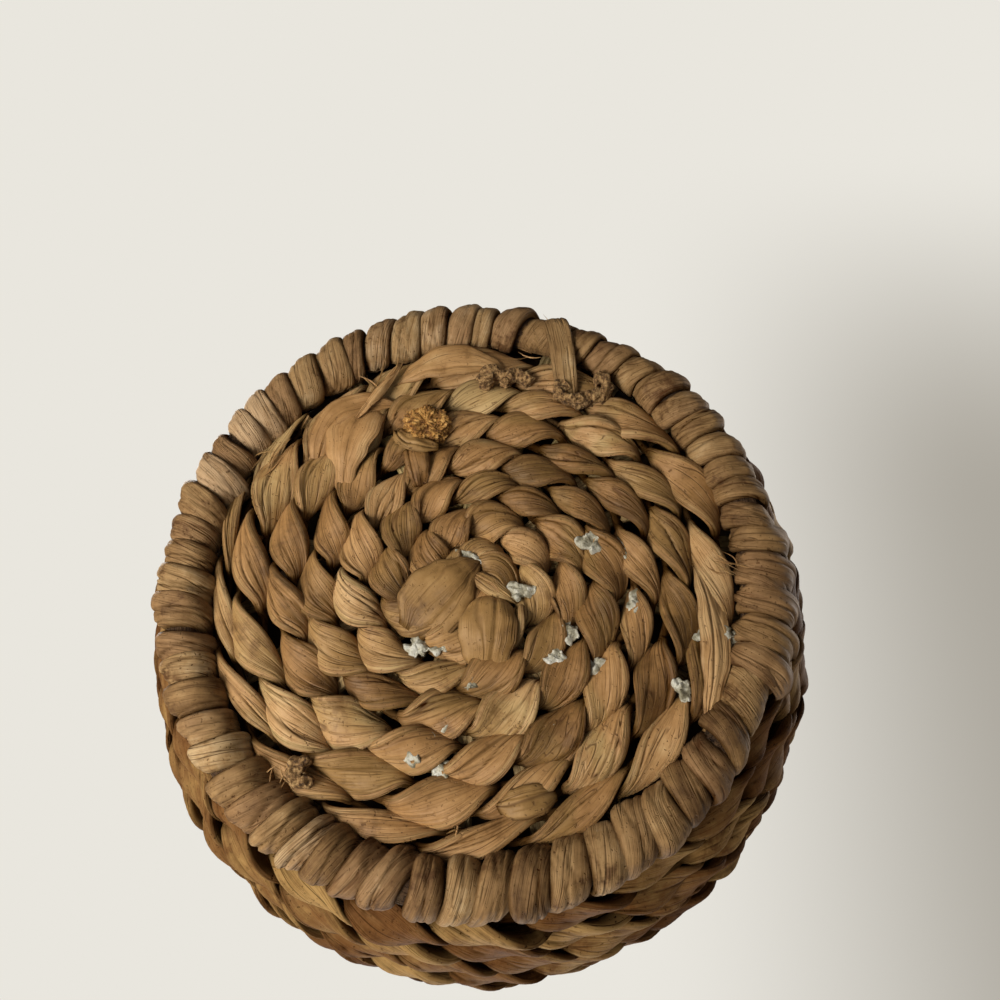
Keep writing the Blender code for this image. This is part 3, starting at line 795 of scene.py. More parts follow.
@dataclass(frozen=True)
class BaseWeave:
    """The spiral of twined rows on the underside, whose outer row reaches under the ring."""

    foot: FootSizes = FootSizes()
    eye: float = 0.0025
    rows: int = 7
    recess: float = 0.0045
    top: float = 0.0148
    taper: float = 0.38
    reach: float = 1.2 * MM
    step: float = 0.98 * MM
    stitch_radii: tuple[float, ...] = (0.008, 0.018, 0.028, 0.037, 0.047, 0.056, 0.063)
    stitches: tuple[float, ...] = (0.0105, 0.0130, 0.0150, 0.0170, 0.0180, 0.0195, 0.0250)
    twining: Twining = Twining(
        swing=0.0029, lift=0.0027, half_width=0.0058, crown=0.0017, back=0.0011, pinch=0.32,
        front_sides=46, tones=(0.46, 0.54), tone_spread=0.18, seed=11,
    )

    def row(self) -> RowPath:
        """The spiral's middle, which lies half way through the mat's thickness.

        Returns:
            The row, at even stations.
        """
        turns = self.rows + 1
        pitch = (self.foot.mat_edge + self.reach - self.eye) / self.rows
        turn = np.linspace(self.taper, turns - self.taper, 6000)
        low, high = row_edges(turn, turns, pitch)
        radius = self.eye + (low + high) / 2
        centre = radius[:, None] * spoke(turn * TURN) + UP * (self.recess + self.top) / 2
        stitch = np.interp(radius, self.stitch_radii, self.stitches)
        samples = even_row({"centre": centre, "angle": turn * TURN, "share": (high - low) / pitch,
                            "stitch": stitch}, self.step)
        inward = -spoke(samples["angle"])
        return RowPath(samples["centre"], inward, np.broadcast_to(-UP, inward.shape),
                       samples["share"], samples["stitch"])

    def build(self, finish: Material) -> None:
        """Make both stems of the mat.

        They are painted paler where y is far from the middle, most where it is low, and painted
        darker where x is large: painted light and shade for the way the light falls over the mat.

        Args:
            finish: the stems' material.
        """
        row = self.row()
        for strand in range(2):
            stem = self.twining.stem(row, strand, 0, len(row.centre))
            x, y = stem.rings[..., 0], stem.rings[..., 1]
            # painted light and shade: paler where y is far from the middle, darker where x is large
            pale = 0.10 * smooth((y - 0.026) / 0.026) + 0.20 * smooth((-y - 0.026) / 0.026)
            stem.tone = (stem.tone - pale + 0.18 * smooth((x - 0.016) / 0.030)).clip(0.02, 0.98)
            make_piece(f"base_stem_{strand + 1}", [stem], finish, Slot.BASE, "base_weave")


@dataclass
class Body:
    """The liner's outer face, as a surface of angle, way up its profile and stand-off."""

    flat: float = 0.0740
    bottom: float = 0.0174
    belly: float = 0.0985
    belly_height: float = 0.080
    neck: float = 0.041
    neck_height: float = 0.228
    mouth: float = 0.053
    mouth_height: float = 0.290
    reach: float = 0.017
    rise: float = 0.014
    sharpness: int = 6
    hoop: float = 0.0066
    hoop_gap: float = 0.0006
    samples: int = 400

    def __post_init__(self) -> None:
        """Lay the heel, the shoulder and the flare end to end, and measure the way."""
        start, belly = (self.flat, self.bottom), (self.belly, self.belly_height)
        neck, mouth = (self.neck, self.neck_height), (self.mouth, self.mouth_height)
        heel, shoulder, flare = (self.belly_height - self.bottom,
                                 self.neck_height - self.belly_height,
                                 self.mouth_height - self.neck_height)
        curves = (
            (start, (self.flat + 0.20 * (self.belly - self.flat), self.bottom),
             (self.belly, self.belly_height - 0.35 * heel), belly),
            (belly, (self.belly, self.belly_height + 0.50 * shoulder),
             (self.neck, self.neck_height - 0.42 * shoulder), neck),
            (neck, (self.neck, self.neck_height + 0.42 * flare),
             (self.mouth - 0.46 * (self.mouth - self.neck), self.mouth_height - 0.42 * flare),
             mouth),
        )
        lines = [bezier(curve, self.samples) for curve in curves]
        self.line = np.vstack([lines[0], lines[1][1:], lines[2][1:]])
        self.way = way_along(self.line)
        self.slope = unit(np.gradient(self.line, self.way, axis=0))
        self.length = float(self.way[-1])
        self.belly_way = float(self.way[self.samples - 1])
        self.neck_way = float(self.way[2 * self.samples - 2])
        self.hoop_way = self.length - self.hoop
        self.wall_end = self.hoop_way - self.hoop - self.hoop_gap

    def at(self, angle: Array, way: Array, stand_off: Array | float) -> Array:
        """Points of the surface, moved out by stand_off; past its end the profile runs straight.

        The spout adds to radius and height an eased share of the way from neck to mouth times
        a power of the cosine of half the angle.

        Args:
            angle: angles round the axis from the spout.
            way: distances up the profile.
            stand_off: distances outside it.

        Returns:
            Points, with coordinates on the last axis.
        """
        angle, way, stand_off = np.broadcast_arrays(angle, way, stand_off)
        past = np.maximum(way - self.length, 0)
        radius, height, slope_r, slope_z = (
            np.interp(way, self.way, values[:, axis])
            for values in (self.line, self.slope) for axis in (0, 1)
        )
        size = np.hypot(slope_r, slope_z)
        out_r, out_z = slope_z / size, -slope_r / size
        spout = smooth((way - self.neck_way) / (self.length - self.neck_way))
        spout = spout * np.cos(angle / 2) ** (2 * self.sharpness)
        radius = radius - past * out_z + self.reach * spout + stand_off * out_r
        height = height + past * out_r + self.rise * spout + stand_off * out_z
        return np.stack([radius * np.cos(angle), radius * np.sin(angle), height], -1)

    def directions(self, angle: Array, way: Array, stand_off: float) -> tuple[Array, Array]:
        """Unit vectors up the profile and outwards, from small steps over the surface.

        Args:
            angle: angles round the axis.
            way: distances up the profile.
            stand_off: distance outside it.

        Returns:
            The vectors up and the vectors out.
        """
        small = 0.1 * MM
        up = unit(self.at(angle, way + small, stand_off) - self.at(angle, way - small, stand_off))
        turn = self.at(angle + small, way, stand_off) - self.at(angle - small, way, stand_off)
        return up, unit(np.cross(turn, up))


class WallPart(Enum):
    """The wall's three lengths of weave, each with the turn of the spiral at which it ends."""

    LOWER = ("wall_weave_lower", 9.5)
    MIDDLE = ("wall_weave_middle", 17.5)
    UPPER = ("wall_weave_upper", 25.62)


@dataclass(frozen=True)
class WallWeave:
    """The spiral of twined rows up the wall."""

    body: Body
    rows: int = 25
    start: float = 0.0030
    inside: float = 0.0029
    thickness: float = 0.0080
    taper: float = 0.38
    step: float = 1.55 * MM
    stitch: float = 0.0225
    twining: Twining = Twining(
        swing=0.0036, lift=0.0021, half_width=0.0063, crown=0.0018, back=0.0013, pinch=0.38,
        front_sides=14, tones=(0.36, 0.68), tone_spread=0.17, seed=31,
    )

    def row(self) -> tuple[RowPath, Array]:
        """The spiral's middle, half way through the weave's thickness.

        Returns:
            The row, and the spiral's turn at each station.
        """
        body, turns = self.body, self.rows + 1
        pitch = (body.wall_end - self.start) / self.rows
        middle = self.inside + self.thickness / 2
        turn = np.linspace(self.taper, turns - self.taper, 30000)
        low, high = row_edges(turn, turns, pitch)
        way = self.start + (low + high) / 2
        samples = even_row({"centre": body.at(turn * TURN, way, middle), "turn": turn, "way": way,
                            "share": (high - low) / pitch}, self.step)
        turn = samples["turn"]
        up, out = body.directions(turn * TURN, samples["way"], middle)
        stitch = np.full(len(turn), self.stitch)
        return RowPath(samples["centre"], up, out, samples["share"], stitch), turn

    def build(self, finish: Material) -> None:
        """Make both stems of each length of the wall's weave.

        Args:
            finish: the stems' material.
        """
        row, turn = self.row()
        first = 0
        for part in WallPart:
            node, end = part.value
            last = int(np.searchsorted(turn, end))
            for strand in range(2):
                stem = self.twining.stem(row, strand, first, min(last + 1, len(turn)))
                make_piece(f"{node}_stem_{strand + 1}", [stem], finish, Slot.WALL, node)
            first = last


@dataclass
class Lead:
    """A line with two directions square to it, which strips are wound round."""

    centre: Array
    first: Array
    second: Array
    way: Array

    def round(self, way: Array, angle: Array, reach: Array) -> Array:
        """Points off the line, at an angle from its first towards its second direction.

        Args:
            way: ways along the line.
            angle: angles round it.
            reach: distances from it.

        Returns:
            The points, with coordinates on the last axis.
        """
        centre, first, second = (
            np.stack([np.interp(way, self.way, values[:, axis]) for axis in range(3)], -1)
            for values in (self.centre, self.first, self.second)
        )
        turned = np.cos(angle)[..., None] * first + np.sin(angle)[..., None] * second
        return centre + reach[..., None] * turned


@dataclass(frozen=True)
class Winding:
    """A flattened strip wound round a line, puffed up between its edges.

    inside is the distance of its edges from the line, crown its puff, overlap the share by
    which each wrap laps its neighbours, and loose how uneven it is. The fields after drift say
    how uneven at a loose of 1: spread and shift of the puff, tilt of a wrap, spacing and size
    of its wander along and off the line, mean and spread of creases and folds in millimetres,
    and width and height of lumps. loose scales them all but the spacings and the lumps' widths.
    """

    inside: float
    crown: float
    overlap: float
    front_sides: int
    step: float
    tone: float
    tone_spread: float
    loose: float
    seed: int
    back_sides: int = 6
    drift: float = 5.3
    crown_spread: float = 0.14
    crown_shift: float = 0.34 * MM
    tilt: float = 0.6 * MM
    along: tuple[float, float] = (0.34, 0.95 * MM)
    off: tuple[float, float] = (0.23, 0.18 * MM)
    crease_rise: tuple[float, float] = (0.14, 0.26)
    fold_rise: tuple[float, float] = (0.20, 0.34)
    coarse: tuple[float, float] = (5.5 * MM, 0.16 * MM)
    fine: tuple[float, float] = (2.4 * MM, 0.07 * MM)

    def strip(self, lead: Lead, edges: Array, start_angle: float, turns: float,
              closed: bool = False, flat: Array | None = None) -> Tube:
        """Wind one strip.

        Its middle moves from one wrap's middle to the next in each turn. Across the strip, its
        face stands at inside plus crown times a puffed lens, with a tilt so that each wrap
        laps the next, ribs that run a little aslant, sharp creases and a fold.

        Args:
            lead: the line.
            edges: ways along the line at which the wraps meet, one more than there are wraps.
            start_angle: angle round the line at which the strip starts.
            turns: how many turns it makes; where it is closed, a whole number.
            closed: whether it ends where it starts.
            flat: for each wrap, 0 for puffed and 1 for flat; none means all puffed.

        Returns:
            The strip as a closed tube.
        """
        rng, loose = np.random.default_rng(self.seed), self.loose
        girth = TURN * (self.inside + self.crown)
        turn = np.linspace(0, turns, int(turns * girth / self.step), endpoint=not closed)
        wraps = len(edges) - 1
        number = np.arange(-1, wraps + 1) if closed else np.arange(wraps)

        def repeat(values: Array, move: float = 0.0) -> Array:
            """Put a closed strip's last value before its first, and its first after its last.

            Args:
                values: one value for each wrap.
                move: growth of the values over a whole turn of wraps.

            Returns:
                The values, longer by two where the strip is closed.
            """
            if not closed:
                return values
            return np.concatenate([values[-1:] - move, values, values[:1] + move])

        def each(values: Array, move: float = 0.0) -> Array:
            """Spread one value for each wrap over the strip's stations, as a column."""
            return np.interp(turn, number, repeat(values, move))[:, None]

        def even(low: float, high: float) -> Array:
            """Draw an even value for each wrap, spread over the stations."""
            return each(rng.uniform(low, high, wraps))

        halves = repeat(np.diff(edges) / 2)
        place = each((edges[1:] + edges[:-1]) / 2, edges[-1] - edges[0])
        half = np.interp(turn, number, halves)[:, None] * (1 + self.overlap)
        level = each(np.zeros(wraps) if flat is None else flat)
        crown = self.crown * (1 - 0.6 * level)
        crown = crown * each(1 + draw(rng, wraps, self.crown_spread * loose))
        crown = crown + each(draw(rng, wraps, self.crown_shift * loose))
        tilt = even(0.4, 2.2) * self.tilt * loose
        column = turn[:, None]
        swerve = even(-0.9, 0.9) * np.sin(TURN * column + even(0, 6))
        creases = [
            (even(-0.7, 0.7) + swerve * share * 1.5,
             each(draw_rise(rng, wraps, *self.crease_rise)) * loose)
            for share in (0.7, -0.5, 0.2, 1.1)
        ]
        fold = even(-0.6, 0.6) - swerve * 0.6
        fold_rise = each(draw_rise(rng, wraps, *self.fold_rise)) * loose
        rib = even(1.6, 3.4)
        phase = even(0, TURN) + column * self.drift
        rib_rise = even(0.0, 0.07) * MM * loose
        shift, pull = (wander(rng, turn, spacing, size * loose)[:, None]
                       for spacing, size in (self.along, self.off))
        if closed:
            fade = smooth(column) * smooth(turns - column)
            shift, pull, phase = shift * fade, pull * fade, phase - column * (self.drift - TURN)
            fold_rise = fold_rise * fade
        tones = (self.tone + rng.normal(size=wraps) * self.tone_spread).clip(0.03, 0.97)
        whole = np.floor(turn)
        tone = np.interp(whole + smooth((turn - whole - 0.85) / 0.15), number, repeat(tones))
        x, is_front = section(self.front_sides, self.back_sides)
        lens = bulge(x, 2.7, 0.52)
        ribs = rib_rise * np.cos(x * math.pi * rib + phase)
        dent, crease_shade = press_creases(x, creases, 0.07, 2, 0.5 * MM, 0.7)
        flap, beside = fold_over((x - fold) / 0.05, fold_rise)
        face = crown * lens + bulge(x, 8) * (ribs + dent + flap) + tilt * x
        back = -0.4 * MM - 0.3 * MM * lens + tilt * x
        reach = self.inside + pull + np.where(is_front > 0, face, back)
        angle = np.broadcast_to(start_angle + TURN * column, reach.shape)
        way = place + shift + half * x
        points = lead.round(way, angle, reach)
        sizes = [(width, height * loose) for width, height in (self.coarse, self.fine)]
        rough = lumps(rng, points, *sizes)
        # painted shade and dirt: dark along a wrap's edges, over its back, in creases and beside
        # its fold
        dirt_and_shade = smooth((np.abs(x) - 0.76) / 0.26) * 0.85 * is_front + (1 - is_front)
        dirt_and_shade = np.clip(dirt_and_shade + (crease_shade + beside) * is_front, 0, 1)
        return Tube(lead.round(way, angle, reach + rough * is_front), turn * girth,
                    3.2 * float(halves.mean()), tone[:, None], dirt_and_shade, closed, 0.2 * loose)


def uneven_edges(seed: int, low: float, high: float, wraps: int, spread: float = 0.15,
                 weights: Array | float = 1.0) -> Array:
    """Ways at which wraps of uneven width meet, from low to high; weights widen some of them."""
    widths = weights * (1 + draw(np.random.default_rng(seed), wraps, spread, 1.8))
    return low + (high - low) * np.concatenate([[0.0], np.cumsum(widths)]) / widths.sum()


@dataclass(frozen=True)
class FootRing:
    """The wound foot: a fibrous core, three windings, a broad strap and a lashing.

    spill is how far a winding runs under a strap, in wraps. The last winding is flat in its
    first and last wraps, and its first ones are wider. cut_angle is where strips start and end
    round the core, and painted_shade_side where round the vase the strips are painted darkest:
    a painted shade that stands in, in part, for the light falling off towards that side.
    """

    sizes: FootSizes = FootSizes()
    inside: float = 0.0047
    crown: float = 0.0026
    core: float = 0.0046
    spill: float = 0.45
    flat_first: int = 4
    flat_last: int = 6
    first_width: float = 1.3
    core_stations: int = 300
    core_sides: int = 36
    cut_angle: float = math.radians(100)
    painted_shade_side: float = math.radians(35)

    def lead(self) -> Lead:
        """The ring's middle line, from two turns before +X to two after.

        Returns:
            The line, a circle whose way is the angle times its radius.
        """
        angle = np.linspace(-2 * TURN, 2 * TURN, 2881)
        outward = spoke(angle)
        up = np.broadcast_to(UP, outward.shape)
        centre = outward * self.sizes.middle + up * self.sizes.half_height
        return Lead(centre, outward, up, angle * self.sizes.middle)

    def winding(self, seed: int, loose: float, tone: float) -> Winding:
        """The strip that the ring is wound with."""
        return Winding(inside=self.inside, crown=self.crown, overlap=0.13, front_sides=30,
                       step=0.85 * MM, tone=tone, tone_spread=0.17 * loose, loose=loose, seed=seed)

    def add(self, node: str, tube: Tube, finish: Material) -> None:
        """Make a strip, with its points on or above the surface that the foot stands on."""
        tube.rings[..., 2] = np.maximum(tube.rings[..., 2], 0.0)
        make_piece(f"{node}_strip", [tube], finish, Slot.FOOT, node)

    def build(self, finish: Material, core: Material) -> None:
        """Make the windings, the straps and the core.

        Args:
            finish: the strips' material.
            core: the core's material.
        """
        sizes, lead = self.sizes, self.lead()
        wrap = TURN / sizes.wraps * sizes.middle
        after_lash = sizes.lash_start + sizes.strap_wraps
        middle = (after_lash + sizes.wide_start) / 2
        spans = ((after_lash, middle), (middle, sizes.wide_start),
                 (sizes.wide_start + sizes.strap_wraps, sizes.wraps + sizes.lash_start))
        for number, (low, high) in enumerate(spans):
            wraps = round(high - low) + 1
            flat, weights = np.zeros(wraps), np.ones(wraps)
            if number == 2:
                flat[:self.flat_first] = flat[-self.flat_last:] = 1.0
                weights[:self.flat_first] = self.first_width
            edges = uneven_edges(50 + number, low - self.spill, high + self.spill, wraps,
                                 weights=weights)
            strip = self.winding(50 + number, 1.0, 0.42).strip(
                lead, edges * wrap, self.cut_angle, wraps - 1, flat=flat
            )
            around = np.arctan2(strip.rings[..., 1], strip.rings[..., 0])
            # painted shade, in part for the light: strips darken towards painted_shade_side
            strip.tone = (strip.tone + 0.16 * np.cos(around - self.painted_shade_side)).clip(0.03, 0.97)
            self.add(f"foot_wrap_{number + 1}", strip, finish)
        straps = (("foot_lash_strap", sizes.lash_start), ("foot_wide_strap", sizes.wide_start))
        for number, (node, low) in enumerate(straps):
            edges = np.array([low, low + sizes.strap_wraps]) * wrap
            band = self.winding(60 + number, 0.5, 0.38).strip(
                lead, edges, self.cut_angle, 1, closed=True, flat=np.array([1.0])
            )
            self.level_band(band, edges[1] - edges[0], wrap)
            self.add(node, band, finish)
        self.build_core(core)

    def level_band(self, band: Tube, span: float, wrap: float) -> None:
        """Bring a closed band back over its own place, without the winding's advance.

        Each ring turns back about the vase's axis by the advance that it had, less a quarter of
        a wrap times the cosine of its angle round the core, so that it leans as the wraps do.

        Args:
            band: the band, whose rings are changed.
            span: the winding's advance in one turn.
            wrap: length of one wrap along the ring.
        """
        turn = np.arange(len(band.rings)) / len(band.rings)
        lean = np.cos(self.cut_angle + TURN * turn) * wrap / 4
        angle = ((lean - turn * span) / self.sizes.middle)[:, None]
        x, y = band.rings[..., 0].copy(), band.rings[..., 1].copy()
        band.rings[..., 0] = np.cos(angle) * x - np.sin(angle) * y
        band.rings[..., 1] = np.sin(angle) * x + np.cos(angle) * y

    def build_core(self, finish: Material) -> None:
        """The core, a tube whose radius rises and falls with the cosine of 11 times the angle.

        Args:
            finish: the core's material.
        """
        stations = self.core_stations
        way = circle(stations) * self.sizes.middle
        way_grid, around = np.meshgrid(way, circle(self.core_sides), indexing="ij")
        grooves = 0.25 * MM * np.cos(around * 11 + 3 * np.sin(way_grid / self.sizes.middle * 2))
        rings = self.lead().round(way_grid, around, self.core + grooves)
        tone = 0.5 + np.random.default_rng(70).normal(size=stations) * 0.05
        # painted shade and dirt darken the whole core a little, through dirt_and_shade 0.35
        make_piece("foot_core_stem", [Tube(rings, way, 0.03, tone, 0.35, True)], finish,
                   Slot.CORE, "foot_ring_core")


@dataclass(frozen=True)
class RimHoop:
    """The wound hoop that closes the top edge and follows the spout."""

    body: Body
    stand_off: float = 0.0072
    wraps: int = 50
    winding: Winding = Winding(
        inside=0.0044, crown=0.0024, overlap=0.08, front_sides=16, step=1.25 * MM,
        tone=0.45, tone_spread=0.18, loose=0.9, seed=81,
    )

    def build(self, finish: Material) -> None:
        """Make the hoop's strip, wound round a line at one way up the body; it closes on itself.

        Args:
            finish: the strip's material.
        """
        angle = np.linspace(-TURN, 2 * TURN, 2161)
        up, out = self.body.directions(angle, self.body.hoop_way, self.stand_off)
        centre = self.body.at(angle, self.body.hoop_way, self.stand_off)
        lead = Lead(centre, out, up, way_along(centre))
        lead.way -= np.interp(0.0, angle, lead.way)
        length = float(np.interp(TURN, angle, lead.way))
        edges = uneven_edges(82, 0.0, length, self.wraps)
        strip = self.winding.strip(lead, edges, 0.0, self.wraps, closed=True)
        make_piece("rim_strip", [strip], finish, Slot.RIM, "rim_hoop")


@dataclass(frozen=True)
class Handle:
    """The loop handle: a core, a winding and two lashings."""

    body: Body
    straight: float = 0.015
    top_below_hoop: float = 0.0120
    foot_above_belly: float = 0.058
    top_pull: float = 0.075
    foot_pull: float = 0.070
    stand_off: float = 0.0115
    chord: float = 1 / math.cos(math.pi / 22) - 1
    sunk: float = 0.0025
    lashing: float = 0.012
    core: float = 0.0050
    wraps: int = 23
    wrap_spread: float = 0.105
    spill: float = 0.45
    cord_wraps: int = 5
    winding: Winding = Winding(
        inside=0.0051, crown=0.0023, overlap=0.07, front_sides=18, step=1.2 * MM,
        tone=0.42, tone_spread=0.17, loose=0.9, seed=91,
    )
    cord: Winding = Winding(
        inside=0.0060, crown=0.0021, overlap=0.05, front_sides=10, step=1.0 * MM,
        tone=0.62, tone_spread=0.10, loose=0.6, seed=95,
    )

    def lead(self) -> Lead:
        """The handle's middle line: two straight ends in the wall's weave and a bow between.

        Returns:
            The line, whose directions lie to the side and across it.
        """
        body, half_turn = self.body, np.array([math.pi])
        wider = np.array([1 + self.chord, 1 + self.chord, 1])
        ends = []
        for way in (body.wall_end - self.top_below_hoop, body.belly_way + self.foot_above_belly):
            place = body.at(half_turn, np.array([way]), self.stand_off)[0] * wider
            ends += [place, body.directions(half_turn, np.array([way]), MM)[1][0]]
        top, top_out, foot, foot_out = ends
        top_bend, foot_bend = top + self.straight * top_out, foot + self.straight * foot_out
        bow = bezier((top_bend, top_bend + self.top_pull * top_out,
                      foot_bend + self.foot_pull * foot_out, foot_bend), 200)
        share = np.linspace(0, 1, 20)[:-1, None]
        start, end = top - self.sunk * top_out, foot - self.sunk * foot_out
        line = np.vstack([start + (top_bend - start) * share, bow,
                          (end + (foot_bend - end) * share)[::-1]])
        side = np.broadcast_to([0.0, 1.0, 0.0], line.shape)
        up = unit(np.cross(unit(np.gradient(line, axis=0)), side))
        return Lead(line, side, up, way_along(line))

    def build(self, finish: Material, core: Material) -> None:
        """Make the handle's winding, lashings and core.

        Args:
            finish: the strips' material.
            core: the core's material.
        """
        lead = self.lead()
        length = float(lead.way[-1])
        low = self.sunk + self.lashing
        spill = self.spill * (length - 2 * low) / self.wraps
        edges = uneven_edges(92, low - spill, length - low + spill, self.wraps + 1,
                             self.wrap_spread)
        strip = self.winding.strip(lead, edges, 0.0, self.wraps)
        make_piece("handle_strip", [strip], finish, Slot.HANDLE, "handle_wrap")
        reach = low + spill / 2
        for name, start in (("top", 0.0), ("foot", length - reach)):
            edges = np.linspace(start, start + reach, self.cord_wraps + 1)
            cord = self.cord.strip(lead, edges, math.pi, self.cord_wraps - 1)
            node = f"handle_lashing_{name}"
            make_piece(f"{node}_cord", [cord], finish, Slot.HANDLE, node)
        way = np.linspace(0, length, 150)
        way_grid, around = np.meshgrid(way, circle(20), indexing="ij")
        rings = lead.round(way_grid, around, self.core + 0.2 * MM * np.cos(around * 7))
        # painted shade and dirt darken the whole core a little, through dirt_and_shade 0.3
        make_piece("handle_core_stem", [Tube(rings, way, 0.03, 0.5, 0.3)], core, Slot.CORE,
                   "handle_core")


@dataclass(frozen=True)
class Liner:
    """The vessel inside the weave: a thin shell with a rounded lip."""

    body: Body
    wall: float = 0.0025
    lip: float = 0.0020
    sides: int = 160
    eye: float = 0.003

    def build(self, finish: Material) -> None:
        """Make the shell: up its outer face, over the lip, down inside and over the floor.

        Args:
            finish: the shell's material.
        """
        body, angle = self.body, circle(self.sides)
        top = body.hoop_way + self.lip
        ways, over = np.linspace(0, top, 60), np.linspace(0, math.pi, 7)[1:-1]
        way = np.concatenate([ways, top + self.wall / 2 * np.sin(over), ways[::-1]])
        off = np.concatenate([0 * ways, -self.wall / 2 * (1 - np.cos(over)), 0 * ways - self.wall])
        shell = body.at(angle[None, :], way[:, None], off[:, None])
        radii = np.linspace(self.eye, body.flat * 0.985, 12)[:, None, None]
        under = spoke(angle)[None] * radii + UP * body.bottom
        floor = spoke(angle)[None] * radii[::-1] + UP * (body.bottom + self.wall)
        rings = np.concatenate([under, shell[:-1], floor])
        make_piece("liner_shell", [Tube(rings, way_along(rings[:, 0]), 0.5)], finish, Slot.LINER,
                   "liner")


@dataclass(frozen=True)
class Stakes:
    """Ribbed flat stakes, which show between the rows: deep under the base, thin up the wall."""

    body: Body
    count: int = 22
    width: float = 0.0050
    gap: float = 0.0003
    wall_depth: float = 0.0024
    base_depth: float = 0.0068
    starts: tuple[float, float] = (0.0105, 0.0205)
    thin_from: float = 0.050
    thin_over: float = 0.016
    under: int = 46
    up: int = 120

    def build(self, finish: Material) -> None:
        """Make each stake from near the middle of the base, round the heel, up to the rim.

        Args:
            finish: the stakes' material.
        """
        body = self.body
        face = np.linspace(-1, 1, 13)
        wide = np.concatenate([face, [0.7, 0.0, -0.7]])[None, :] * self.width / 2
        for index in range(self.count):
            rng = np.random.default_rng(300 + index)
            angle = (index + 0.5) * TURN / self.count
            radii = np.linspace(self.starts[index % 2], body.flat - MM, self.under)
            angles, ways = np.full(self.up, angle), np.linspace(0, body.wall_end, self.up)
            base = spoke(angle) * radii[:, None] + UP * (body.bottom - self.gap)
            centre = np.vstack([base, body.at(angles, ways, self.gap)])
            out = body.directions(angles, ways, self.gap)[1]
            normal = np.vstack([np.broadcast_to(-UP, base.shape), out])
            shrink = 1 - smooth((radii - self.thin_from) / self.thin_over)
            more = np.concatenate([(self.base_depth - self.wall_depth) * shrink, 0 * ways])
            sway = wander(rng, np.arange(len(centre)) * 1.0, 14.0, 0.6 * MM)[:, None]
            ribs = 0.3 * MM * np.cos(face * math.pi * 3)
            outer = (self.wall_depth + more)[:, None] * (1 - 0.10 * np.abs(face) ** 6) + ribs
            offs = np.concatenate([outer, np.zeros((len(centre), 3))], axis=1)
            rings = carry(centre, spoke(angle + TURN / 4)[None], normal, wide + sway, offs)
            tube = Tube(rings, way_along(centre), 0.012, rng.uniform(0.2, 0.6))
            name = f"stake_{index + 1:02d}"
            make_piece(f"{name}_rib", [tube], finish, Slot.STAKE, name)


@dataclass(frozen=True)
class Leaf:
    """A loose leaf or stem end that lies over the weave.

    line holds the start, pulls and end of its middle line; widths are shares of width at even
    steps along it. Lengths are in millimetres, with z counted up from the standing surface.
    """

    name: str
    line: tuple[Point, ...]
    width: float
    widths: tuple[float, ...]
    crown: float
    tone: float
    roll: float = 0.0
    nodes: tuple[str, ...] = ()
    seed: int = 1

    def build(self, finish: Material) -> None:
        """Carry a crowned, creased section along the middle line.

        The line is the Bezier curve of its points, the width an eased curve through its
        shares, and the face is turned about the line by the roll.

        Args:
            finish: the leaf's material.
        """
        rng = np.random.default_rng(self.seed)
        share = np.linspace(0, 1, 70)
        centre = bezier(self.line, len(share)) * MM
        ahead = unit(np.gradient(centre, axis=0))
        level = unit(np.cross(ahead, -UP))
        under = unit(np.cross(level, ahead))
        roll = math.radians(self.roll)
        side = level * math.cos(roll) + under * math.sin(roll)
        face = under * math.cos(roll) - level * math.sin(roll)
        half = eased(np.array(self.widths), share * (len(self.widths) - 1)) * self.width * MM / 2
        half = half[:, None]
        x, is_front = section(40, 12)
        full = (half / half.max()) ** 0.5
        lens = bulge(x, 2.3, 0.6) * full
        ribs = 0.08 * MM * np.cos(x * math.pi * rng.uniform(2.5, 4.0) + rng.uniform(0, TURN))
        crease = -0.45 * MM * bell((x - rng.uniform(-0.5, 0.5)) / 0.08)
        waves = wander(rng, share, 0.22, 0.35 * MM)[:, None] * np.sin(x * 2.6 + rng.uniform(0, 6))
        top = self.crown * MM * lens + bulge(x, 8) * (ribs + crease) * full
        off = np.where(is_front > 0, top, -0.6 * MM * lens) + waves
        rings = carry(centre, side, face, half * x, off)
        rings[..., 2] = np.maximum(rings[..., 2], CLEAR)
        # painted shade and dirt: dark towards the leaf's ends and along its edges, and over its
        # back
        ends = smooth(share / 0.10) * smooth((1 - share) / 0.10)
        dirt_and_shade = np.clip((1 - ends)[:, None] * 0.7 + smooth((np.abs(x) - 0.8) / 0.2) * 0.4, 0, 1)
        tube = Tube(rings, way_along(centre), 2.2 * float(half.max()), self.tone,
                    np.where(is_front > 0, dirt_and_shade, 0.9))
        make_piece(self.name, [tube], finish, Slot.LEAF, *self.nodes)


